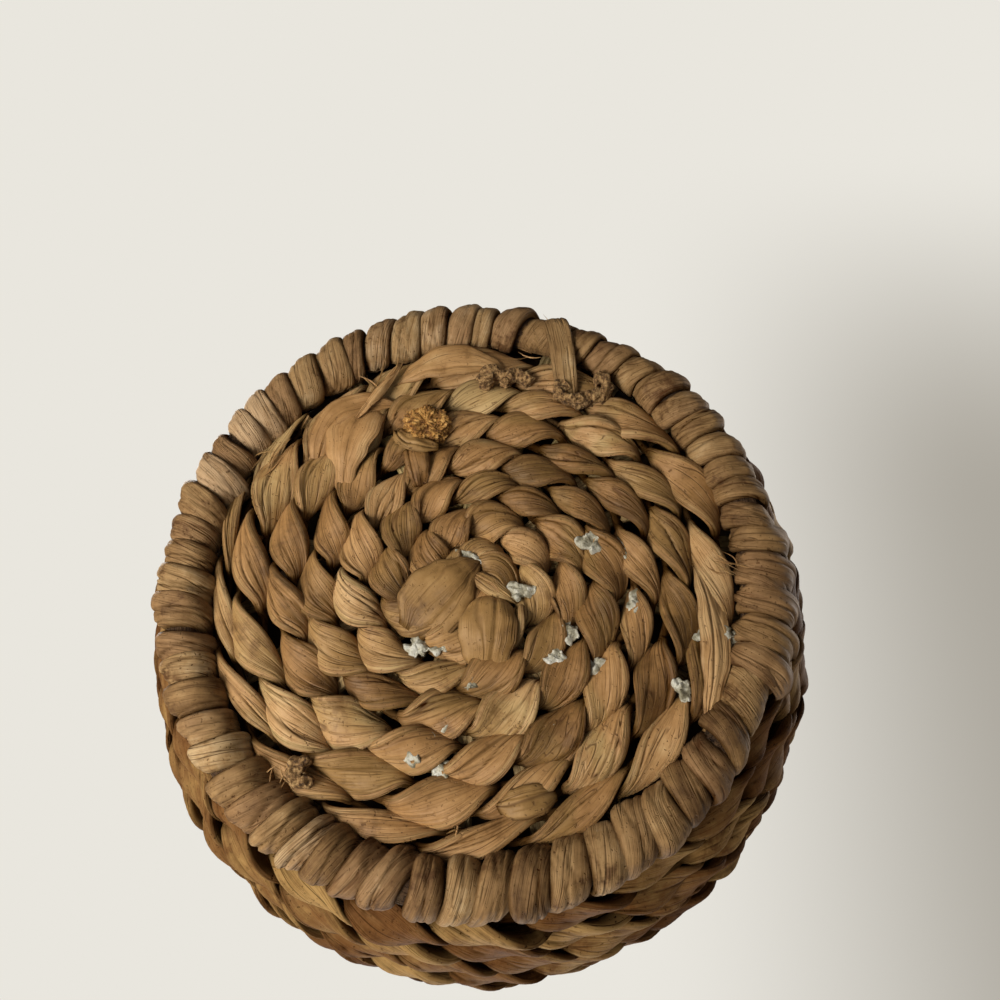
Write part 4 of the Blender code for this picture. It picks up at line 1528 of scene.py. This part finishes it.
LEAVES = (
    Leaf("fan_leaf_blade", ((2.5, -2.5, 7.0), (-6, 5, 0.6), (-15, 17.5, 6.5)), 19,
         (0.16, 0.48, 0.82, 1.0, 0.96, 0.45), 1.5, 0.60, 5, ("fan_leaf",), 401),
    Leaf("knob_leaf_blade", ((5.8, 7.5, 7.5), (5.6, 17, -2.6), (4.6, 27.5, 8.5)), 15.5,
         (0.45, 0.85, 1.0, 1.0, 0.82, 0.4), 2.0, 0.60, 2, ("knob_leaf",), 402),
    Leaf("folded_leaf_blade", ((-33, -51, 8.5), (-38, -40, -1.2), (-37.5, -20, 8.5)), 18,
         (0.6, 0.95, 1.0, 0.75, 0.42, 0.12), 1.5, 0.40, -8, ("folded_leaf",), 403),
    Leaf("folded_leaf_back", ((-23, -50, 6.0), (-46, -52, 1.4), (-46, -30, 7.5)), 9,
         (0.2, 0.8, 1.0, 0.9, 0.4), 1.2, 0.48, 8, (), 408),
    Leaf("small_leaf", ((0.0, 1.5, 6.0), (5, 5, 3.4), (13, 9.5, 6.5)), 5.0,
         (0.2, 0.9, 1.0, 0.8, 0.2), 0.9, 0.30, -8, (), 404),
    Leaf("pale_leaf", ((60.5, -3, 8), (68, 18, 1.2), (60, 41, 7.5)), 8.5,
         (0.12, 0.7, 1.0, 1.0, 0.6, 0.1), 0.8, 0.10, 10, (), 405),
    Leaf("broad_leaf", ((-25, -56.5, 6.5), (-8, -70, 0.6), (10, -60.5, 6.0)), 11.5,
         (0.10, 0.65, 1.0, 0.95, 0.55, 0.1), 1.5, 0.34, 6, (), 406),
    Leaf("slanting_stem", ((-35.5, -43, 3.6), (-29, -51, 1.4), (-23.5, -63, 4.4)), 3.4,
         (0.1, 0.6, 1.0, 0.8, 0.5), 0.9, 0.12, 0, (), 409),
    Leaf("stub_sheath", ((-22.5, -40.5, 4.4), (-20.5, -35.0, 0.8), (-10.5, -35.5, 4.2)), 6.0,
         (0.5, 0.9, 1.0, 0.9, 0.5), 1.1, 0.72, 14, (), 410),
    Leaf("broken_end", ((9.5, 59.5, 6.0), (15.5, 59.0, 1.6), (22.5, 56.5, 6.5)), 8.0,
         (0.5, 0.9, 1.0, 0.95, 0.5), 1.3, 0.58, 8, (), 412),
    Leaf("ribbed_end", ((-17.2, -35.0, 5.0), (-16.0, -30.0, 2.4), (-15.2, -24.5, 7.0)), 7.6,
         (1.0, 1.0, 0.92, 0.75, 0.5), 1.2, 0.78, 0, (), 411),
)
STRAP_LEAF = Leaf(
    "tall_wrap_leaf", ((27, -51.5, 5.2), (25.8, -61, 2.6), (24.8, -68, 0.4), (23.5, -76, -1.4),
                       (22.6, -80.2, 0.8), (22.4, -80.9, 12)),
    7.6, (0.85, 0.95, 1.0, 1.0, 0.92, 0.7), 1.1, 0.38, 0, (), 407,
)


def across_ring(number: int, degrees: float, lean: float, width: float, tone: float) -> Leaf:
    """A flat strip that crosses the foot from the mat to the wall.

    Its points lie on spokes that turn by lean degrees from its first point to its last.

    Args:
        number: its number.
        degrees: angle of its first point round the vase's axis.
        lean: how far the angle grows.
        width: its width in millimetres.
        tone: its tone.

    Returns:
        The strip as a leaf.
    """
    path = ((72.0, 6.5), (73.0, 0.8), (80.0, -1.0), (87.0, 2.6), (88.4, 15.0))
    angles = np.radians(degrees + lean * np.linspace(0, 1, len(path)))
    line = tuple(spoke(angle) * radius + UP * height
                 for angle, (radius, height) in zip(angles, path))
    return Leaf(f"join_strip_{number}", line, width, (0.55, 0.9, 1.0, 1.0, 1.0, 0.7), 0.9, tone,
                seed=round(degrees) + 460)


JOIN_STRIPS = (
    across_ring(1, -7.5, 2.0, 8.3, 0.62), across_ring(2, -1.5, 2.5, 8.5, 0.70),
    across_ring(3, 4.6, 3.0, 8.6, 0.56), across_ring(4, 10.8, 3.5, 8.4, 0.68),
    across_ring(5, 16.4, 4.0, 8.0, 0.60),
)


@dataclass(frozen=True)
class CutEnds:
    """Cut stem ends that stick out of the mat: one crumbly, two curled and one dark.

    A curled end has its node, its piece's name, its place in shares of the mat's edge and its
    lips: each a place from there, radius, start and sweep of its arc, height and seed. Lengths
    of lips are in millimetres. high is the height at which lips start, bar half their
    thickness, and rise the height of the point from which the stub's lumps push out.
    """

    edge: float = FootSizes().mat_edge
    root: float = 0.0066
    high: float = 0.0075
    bar: float = 1.9 * MM
    rise: float = 0.007
    stub: tuple[float, float] = (-0.205, -0.613)
    curls: tuple[tuple, ...] = (
        ("curled_end_1", "curled_end_1_lip", 0.133, -0.825,
         ((-4.0, 0.6, 3.0, 2.2, 4.4, 1.6, 502), (3.0, 3.0, 5.0, -2.5, 1.9, 1.9, 503))),
        ("curled_end_2", "curled_end_2_lip", 0.451, -0.789,
         ((-3.0, 1.0, 3.4, 0.2, 3.9, 1.4, 504), (3.8, -0.8, 3.0, -1.9, 4.6, 1.6, 505))),
        ("dark_stub", "dark_stub_end", -0.550, 0.760, ((0.0, 0.0, 2.2, 0.4, 4.9, 1.8, 506),)),
    )

    def crumb(self, x: float, y: float, radius: float, low: float, rough: float) -> Tube:
        """A rough-topped plug.

        Its rings shrink towards the tip like a quarter circle, and its points move out by lumps
        of three sizes.

        Args:
            x, y: place of its middle.
            radius: radius where it leaves the mat.
            low: height of its tip.
            rough: size of the lumps.

        Returns:
            The plug as a closed tube.
        """
        rng = np.random.default_rng(501)
        share, around = np.linspace(0, 1, 44), circle(120)
        reach = radius * np.maximum(1 - share**3.2, 0.0004)[:, None] ** 0.55
        height = self.root + (low - self.root) * np.sin(share * math.pi / 2)
        rings = np.stack([x + reach * np.cos(around), y + reach * np.sin(around) * 0.82,
                          np.broadcast_to(height[:, None], (44, 120))], axis=-1)
        push = lumps(rng, rings, (5 * MM, rough), (1.3 * MM, rough * 0.6), (0.7 * MM, rough * 0.5))
        rings = rings + unit(rings - np.array([x, y, self.rise])) * push[..., None]
        rings[..., 2] = np.maximum(rings[..., 2], CLEAR)
        return Tube(rings, share * radius, TURN * radius, 0.5 + push[:, 0] / rough * 0.1)

    def lip(self, x: float, y: float, radius: float, start: float, sweep: float, low: float,
            seed: int) -> Tube:
        """A thick spongy cut edge, bent into part of a ring.

        Its line is an arc of the given sweep, and its section a rounded bar whose points move
        by lumps of three sizes.

        Args:
            x, y: place of the arc's middle.
            radius: radius of the arc.
            start: angle at which it starts.
            sweep: angle that it covers.
            low: height of its cut face.
            seed: seed of its lumps.

        Returns:
            The edge as a closed tube.
        """
        rng, high = np.random.default_rng(seed), self.high
        share, side = np.linspace(0, 1, 110)[:, None], circle(44)
        angle = start + share * sweep
        full = np.maximum(1 - (2 * share - 1) ** 6, 0.02) ** 0.5
        thick = self.bar * full * (1 + 0.30 * np.sin(share * 7 + seed))
        far = radius * (1 + 0.12 * np.sin(angle * 2 + seed)) + np.cos(side) * thick
        tall = np.sign(np.sin(side)) * np.abs(np.sin(side)) ** 0.7
        height = (high + low) / 2 + tall * ((high - low) / 2 * full)
        rings = np.stack([x + far * np.cos(angle), y + far * np.sin(angle), height], -1)
        push = lumps(rng, rings, (4 * MM, 0.55 * MM), (1.6 * MM, 0.16 * MM), (0.8 * MM, 0.12 * MM))
        rings = rings + unit(rings - rings.mean(1, keepdims=True)) * push[..., None]
        rings[..., 2] = np.maximum(rings[..., 2], CLEAR)
        return Tube(rings, share[:, 0] * radius * sweep, 0.012)

    def build(self, pith: Material, sponge: Material) -> None:
        """Make the four ends.

        Args:
            pith: the golden end's material.
            sponge: the other ends' material.
        """
        x, y = (share * self.edge for share in self.stub)
        crumb = self.crumb(x, y, self.root, 1.4 * MM, 0.55 * MM)
        make_piece("golden_stub_crumb", [crumb], pith, Slot.PITH, "golden_stub")
        for node, name, x, y, lips in self.curls:
            tubes = [
                self.lip(x * self.edge + dx * MM, y * self.edge + dy * MM, radius * MM, start,
                         sweep, low * MM, seed)
                for dx, dy, radius, start, sweep, low, seed in lips
            ]
            make_piece(name, tubes, sponge, Slot.PITH, node)


@dataclass(frozen=True)
class Splinters:
    """Thin loose fibres, in clusters at frayed places of the mat's edge.

    A cluster holds a place and height, a count, a length and a heading with its spread in
    degrees. Lengths are in millimetres.
    """

    clusters: tuple[tuple[float, ...], ...] = (
        (68.0, -1.0, 2.3, 10, 8, 30, 30), (-26.0, -60.0, 3.0, 4, 15, 115, 16),
        (-31.0, -56.0, 4.0, 5, 9, 60, 40), (-59.0, -31.0, 5.5, 6, 10, -55, 30),
        (-44.0, 54.0, 4.0, 7, 7, 120, 80), (13.0, -67.0, 5.0, 3, 8, 20, 30),
        (-1.0, 66.5, 5.5, 4, 5, 150, 40), (20.0, -70.0, 1.2, 2, 11, 70, 12),
    )

    def fibre(self, rng: Random, cluster: tuple[float, ...]) -> Tube:
        """A needle of eight sides whose middle line is an arc and whose ends taper.

        Args:
            rng: source of random numbers.
            cluster: the fibre's cluster.

        Returns:
            The needle as a closed tube.
        """
        x, y, z, _, length, heading, spread = cluster
        share = np.linspace(0, 1, 18)
        turn = math.radians(heading + rng.normal() * spread / 2)
        ahead = spoke(turn) + UP * (rng.normal() * 0.06)
        side = spoke(turn + TURN / 4)
        start = np.array([x, y, z]) + rng.normal(size=3) * [1.6, 1.6, 0.5]
        reach = length * rng.uniform(0.6, 1.2)
        bend = rng.normal() * 0.12 * reach
        line = start + ahead * ((share - 0.5) * reach)[:, None]
        line = line + side * (bend * np.sin(share * math.pi))[:, None]
        thick = rng.uniform(0.07, 0.20) * np.sin(0.08 + share * 2.98)
        around = circle(8)[:, None]
        round_it = np.cos(around) * side * 1.5 + np.sin(around) * UP
        rings = (line[:, None] + thick[:, None, None] * round_it) * MM
        rings[..., 2] = np.maximum(rings[..., 2], 0.3 * MM)
        return Tube(rings, share * reach * MM, 0.002, rng.uniform(0.1, 0.8))

    def build(self, finish: Material) -> None:
        """Make all the clusters as one piece.

        Args:
            finish: the fibres' material.
        """
        rng = np.random.default_rng(700)
        tubes = [self.fibre(rng, one) for one in self.clusters for _ in range(int(one[3]))]
        make_piece("splinters", tubes, finish, Slot.LEAF)


@dataclass(frozen=True)
class Adhesive:
    """Dried white adhesive in the gaps between stems.

    A bead has its place in shares of the mat's edge and its size as a share of the full radius;
    a trace has its place and radius in millimetres.
    """

    edge: float = FootSizes().mat_edge
    radius: float = 0.0046
    height: float = 0.0056
    trace_height: float = 0.0069
    beads: tuple[tuple[float, float, float], ...] = (
        (0.193, 0.089, 0.72), (0.467, -0.112, 0.75), (0.030, 0.425, 0.62),
        (0.925, 0.245, 0.95), (0.788, 0.444, 0.60), (-0.186, 0.683, 0.75),
    )
    traces: tuple[tuple[float, float, float], ...] = (
        (-13.2, 21.0, 3.4), (8.0, 7.7, 4.0), (0.1, -2.5, 4.2), (15.0, -8.1, 3.2),
        (68.2, 17.2, 2.8), (67.4, 21.0, 3.2), (66.2, 24.8, 2.8), (62.4, 37.1, 3.6),
        (35.3, 12.8, 3.0), (33.5, 25.1, 3.4), (26.2, 16.7, 3.2), (23.0, 23.5, 3.0),
        (20.5, 43.0, 3.8), (-22.6, 34.0, 3.2), (-2.8, 39.4, 3.6), (4.6, 26.2, 3.8),
        (-6.8, 20.2, 3.2), (-30.9, 25.3, 3.0), (-6.2, 49.4, 4.4), (41.0, -6.0, 3.0),
        (44.0, 8.5, 3.0),
    )

    def blob(self, x: float, y: float, radius: float, height: float, seed: int) -> Tube:
        """A flat drop with an uneven edge.

        Its rings run from its top to its foot as a half circle does, and lumps move them.

        Args:
            x, y: place of its middle.
            radius: its rough radius.
            height: height of its middle above the standing surface.
            seed: seed of its shape.

        Returns:
            The drop as a closed tube.
        """
        rng = np.random.default_rng(seed)
        polar, around = np.linspace(0.06, math.pi - 0.06, 22)[:, None], circle(44)
        uneven = 1 + 0.30 * np.sin(around * 2 + rng.uniform(0, 6)) * rng.uniform(0.5, 1)
        for waves, size in ((3, 0.20), (7, 0.12)):
            uneven = uneven + size * np.sin(around * waves + rng.uniform(0, 6))
        squeeze, turn = rng.uniform(0.55, 0.9), rng.uniform(0, math.pi)
        far = radius * np.sin(polar) * uneven
        long, short = (far * np.cos(around))[..., None], (far * np.sin(around) * squeeze)[..., None]
        deep = (height - 0.8 * MM * np.cos(polar))[..., None]
        rings = (np.array([x, y, 0.0]) + long * spoke(turn) + short * spoke(turn + TURN / 4)
                 + deep * UP)
        push = lumps(rng, rings, (2.6 * MM, 0.45 * MM), (1.0 * MM, 0.16 * MM))
        rings = rings + push[..., None] * [0.6, 0.6, 1.0]
        return Tube(rings, polar[:, 0] * radius, TURN * radius)

    def build(self, finish: Material) -> None:
        """Make the beads that the CAD model holds, and the smaller traces as one piece.

        Args:
            finish: the adhesive's material.
        """
        for number, (x, y, size) in enumerate(self.beads):
            tube = self.blob(x * self.edge, y * self.edge, self.radius * size, self.height,
                             600 + number)
            make_piece(f"adhesive_{number + 1}", [tube], finish, Slot.ADHESIVE,
                       f"adhesive_bead_{number + 1}")
        tubes = [self.blob(x * MM, y * MM, radius * MM, self.trace_height, 620 + number)
                 for number, (x, y, radius) in enumerate(self.traces)]
        make_piece("adhesive_traces", tubes, finish, Slot.ADHESIVE)


@dataclass(frozen=True)
class PlainFinish:
    """A finish of one body colour that noise varies: plastic, pith or dried adhesive."""

    name: str
    colours: tuple[Colour, ...]
    scale: float
    roughness: float
    relief: float
    rough_scale: float = 1.0
    gloss: float = 0.5

    def build(self) -> Material:
        """Build the material from noise on object coordinates.

        Returns:
            The finish.
        """
        made, graph, shader = new_material(self.name)
        place = graph.place()
        cloud = graph.noise(place, self.scale, 5.0, 0.62)
        fine = graph.noise(place, self.scale * 6, 3.0, 0.6)
        colour = graph.ramp(graph.span(cloud, 0.32, 0.68), self.colours)
        graph.feed(shader.inputs["Base Color"], colour)
        rough = graph.plus(self.roughness - 0.08, graph.times(fine, 0.16))
        graph.feed(shader.inputs["Roughness"], rough)
        shader.inputs["Specular IOR Level"].default_value = self.gloss
        height = graph.plus(graph.times(cloud, 0.6), graph.times(fine, 0.4 * self.rough_scale))
        bump = graph.add("ShaderNodeBump", {"Height": height, "Distance": self.relief})
        graph.feed(shader.inputs["Normal"], bump.outputs[0])
        return made


PALE = tint(233, 230, 222)
GOLD = (tint(192, 155, 106), tint(176, 135, 86), tint(160, 119, 71), tint(139, 101, 56),
        tint(112, 79, 40))
GREYED = (tint(180, 151, 110), tint(156, 124, 82), tint(138, 106, 67), tint(114, 85, 52),
          tint(86, 61, 36))
WALL_TONES = (tint(164, 130, 80), tint(144, 111, 66), tint(122, 88, 51), tint(108, 72, 38),
              tint(84, 53, 26))


class Stage:
    """Floor, backdrop, lamps and camera."""

    def sheet(self, name: str, corners: Sequence[Point], made: Material, shader: Socket) -> None:
        """Make a four-cornered sheet that only the camera sees.

        Args:
            name: its name.
            corners: its corners, in order round the side that it shows.
            made: its material.
            shader: the shader's output that its surface takes.
        """
        made.node_tree.links.new(shader, made.node_tree.nodes["Material Output"].inputs["Surface"])
        mesh = bpy.data.meshes.new(name)
        mesh.from_pydata(corners, [], [(0, 1, 2, 3)])
        mesh.materials.append(made)
        piece = bpy.data.objects.new(name, mesh)
        bpy.context.scene.collection.objects.link(piece)
        for ray in ("diffuse", "glossy", "transmission", "volume_scatter", "shadow"):
            setattr(piece, f"visible_{ray}", False)

    def floor(self) -> None:
        """A pale floor that is seen from above and lets light and sight through from below.

        It fades into the backdrop's tone away from the vase.
        """
        made, graph, shader = new_material("pale floor")
        place, size = graph.place(), 4.0
        tones = (tint(172, 169, 163), tint(182, 179, 174))
        colour = graph.ramp(graph.noise(place, 1.3, 2.0), tones)
        graph.feed(shader.inputs["Base Color"], colour)
        shader.inputs["Roughness"].default_value = 0.7
        flat = graph.vectors("MULTIPLY", place, (1.0, 1.0, 0.0))
        length = graph.add("ShaderNodeVectorMath", {0: flat}, operation="LENGTH").outputs["Value"]
        glow = graph.add("ShaderNodeEmission", {"Color": (*PALE, 1)}).outputs[0]
        far = {0: graph.span(length, 0.25, 1.1), 1: shader.outputs[0], 2: glow}
        lit = graph.add("ShaderNodeMixShader", far).outputs[0]
        clear = graph.add("ShaderNodeBsdfTransparent").outputs[0]
        back = graph.add("ShaderNodeNewGeometry").outputs["Backfacing"]
        mixed = graph.add("ShaderNodeMixShader", {0: back, 1: lit, 2: clear}).outputs[0]
        self.sheet("floor", ((-size, -size, 0), (size, -size, 0), (size, size, 0),
                             (-size, size, 0)), made, mixed)

    def backdrop(self) -> None:
        """A pale sheet far above the vase, which the camera below sees behind it.

        Its tone falls off softly to one side: a painted soft shadow of the vase.
        """
        made, graph, shader = new_material("pale backdrop")
        made.node_tree.nodes.remove(shader)
        parts = graph.add("ShaderNodeSeparateXYZ", {0: graph.place()}).outputs
        # painted soft shadow: darker where x is large and y is high
        shade = graph.times(graph.span(parts["X"], 0.4, 2.2), graph.span(parts["Y"], -3.4, -1.2))
        colour = graph.ramp(shade, (PALE, tint(172, 167, 157)))
        glow = graph.add("ShaderNodeEmission", {"Color": colour, "Strength": 1.0}).outputs[0]
        height, wide = 3.0, 5.0
        self.sheet("backdrop", ((-wide, wide / 4, height), (wide, wide / 4, height),
                                (wide, -2 * wide, height), (-wide, -2 * wide, height)), made, glow)

    def put(self, name: str, data: bpy.types.ID, back: Array, side: Array,
            place: Point) -> bpy.types.Object:
        """Add a lamp or a camera.

        Args:
            name: its name.
            data: its light or camera data.
            back: the direction that it looks away from.
            side: its direction to the right.
            place: where it hangs.

        Returns:
            The new object.
        """
        made = bpy.data.objects.new(name, data)
        bpy.context.scene.collection.objects.link(made)
        columns = np.stack([side, np.cross(back, side), back, np.array(place)], axis=1)
        made.matrix_world = Matrix([*columns.tolist(), [0, 0, 0, 1]])
        return made

    def lamp(self, name: str, place: Point, aim: Point, size: float, power: float) -> None:
        """Add a soft, warm, square lamp.

        Args:
            name: its name.
            place: where it hangs.
            aim: the point that it faces.
            size: length of its sides.
            power: its power in watts.
        """
        light = bpy.data.lights.new(name, "AREA")
        light.shape = "SQUARE"
        light.size, light.energy, light.color = size, power, (1.0, 0.97, 0.92)
        back = unit(np.array(place) - np.array(aim))
        self.put(name, light, back, unit(np.cross(UP, back)), place).visible_camera = False

    def lights(self) -> None:
        """Soft lamps below and above, and an even pale world."""
        low, mid, high = (0, 0, 0.01), (0, 0, 0.03), (0, 0, 0.15)
        self.lamp("key_below", (-0.25, 0.19, -0.30), low, 0.2, 2.2)
        self.lamp("side_below", (-0.30, 0.03, -0.30), low, 0.2, 0.45)
        self.lamp("fill_below", (-0.15, 1.0, -0.40), mid, 0.5, 0.5)
        self.lamp("key_above", (-0.9, -0.9, 1.2), high, 0.7, 34.0)
        self.lamp("fill_above", (1.2, -0.5, 0.7), high, 1.0, 15.0)
        self.lamp("back_above", (0.1, 1.4, 0.9), high, 1.0, 14.0)
        world = bpy.data.worlds.new("studio")
        bpy.context.scene.world = world
        world.use_nodes = True
        graph = Graph(world.node_tree)
        seen = graph.add("ShaderNodeLightPath").outputs["Is Camera Ray"]
        back = world.node_tree.nodes["Background"]
        back.inputs["Color"].default_value = (1.0, 0.965, 0.92, 1)
        back.inputs["Strength"].default_value = 0.15
        pale = graph.add("ShaderNodeBackground", {"Color": (*PALE, 1)})
        mixed = graph.add("ShaderNodeMixShader", {0: seen, 1: back.outputs[0], 2: pale.outputs[0]})
        graph.feed(world.node_tree.nodes["World Output"].inputs["Surface"], mixed.outputs[0])

    def camera(self) -> None:
        """The photograph's view of the underside."""
        data = bpy.data.cameras.new("view")
        data.lens, data.sensor_width, data.clip_start = 27.04, 36.0, 0.01
        ahead = unit(np.array([-0.0338, -0.4038, 1.0]))
        right = unit(np.cross(ahead, [-0.0144, -0.9396, -0.342]))
        camera = self.put("view", data, -ahead, right, AXIS + [0.01415, 0.0589, -0.18973])
        bpy.context.scene.camera = camera
        bpy.context.scene.view_settings.view_transform = "Standard"

    def build(self) -> None:
        """Set the whole stage."""
        self.floor()
        self.backdrop()
        self.lights()
        self.camera()


def main() -> None:
    """Build the vase's pieces from the floor up, then the stage."""
    logging.basicConfig(level=logging.INFO, format="%(message)s")
    Stage().build()
    body = Body()
    line, stain = tint(68, 35, 6), tint(100, 68, 34)
    base = StemFinish("base stem", GOLD, line, stain).build()
    foot = StemFinish("foot strip", GREYED, line, tint(84, 56, 32), roughness=0.62,
                      stain_share=0.75, gloss=0.16, second=(0.94, 0.91, 0.97)).build()
    wall = StemFinish("wall stem", WALL_TONES, tint(54, 29, 9), tint(82, 50, 24), gloss=0.04,
                      second=(0.96, 0.93, 0.92)).build()
    strip = StemFinish("rim and handle strip", GREYED, line, stain).build()
    leaf = StemFinish("leaf blade", GOLD, line, stain, fineness=0.6, relief=0.4 * MM).build()
    stake = StemFinish("stake rib", (tint(206, 178, 128), tint(186, 156, 106), tint(150, 120, 78)),
                       line, stain, fineness=0.6, roughness=0.68).build()
    core = StemFinish("stem core", (tint(112, 84, 54), tint(86, 62, 40), tint(60, 42, 27)),
                      tint(34, 22, 14), tint(50, 34, 22), roughness=0.85, relief=1.2 * MM).build()
    pith = PlainFinish("crumbly pith", (tint(100, 62, 24), tint(162, 114, 50), tint(210, 162, 92)),
                       600.0, 0.9, 0.7 * MM, 1.4).build()
    adhesive = PlainFinish("dried adhesive", (tint(120, 112, 88), tint(172, 166, 145),
                                              tint(200, 197, 184)), 420.0, 0.42, 0.6 * MM).build()
    sponge = PlainFinish("spongy cut stem",
                         (tint(64, 40, 18), tint(140, 104, 60), tint(190, 154, 102)),
                         900.0, 0.85, 0.7 * MM, 1.4).build()
    plastic = PlainFinish("liner plastic", (tint(54, 40, 28), tint(62, 47, 33), tint(70, 54, 38)),
                          90.0, 0.6, 0.15 * MM, gloss=0.12).build()
    FootRing().build(foot, core)
    BaseWeave().build(base)
    Stakes(body).build(stake)
    Liner(body).build(plastic)
    WallWeave(body).build(wall)
    RimHoop(body).build(strip)
    Handle(body).build(strip, core)
    for one in LEAVES:
        one.build(leaf)
    for one in (*JOIN_STRIPS, STRAP_LEAF):
        one.build(foot)
    CutEnds().build(pith, sponge)
    Splinters().build(leaf)
    Adhesive().build(adhesive)


if __name__ == "__main__":
    main()
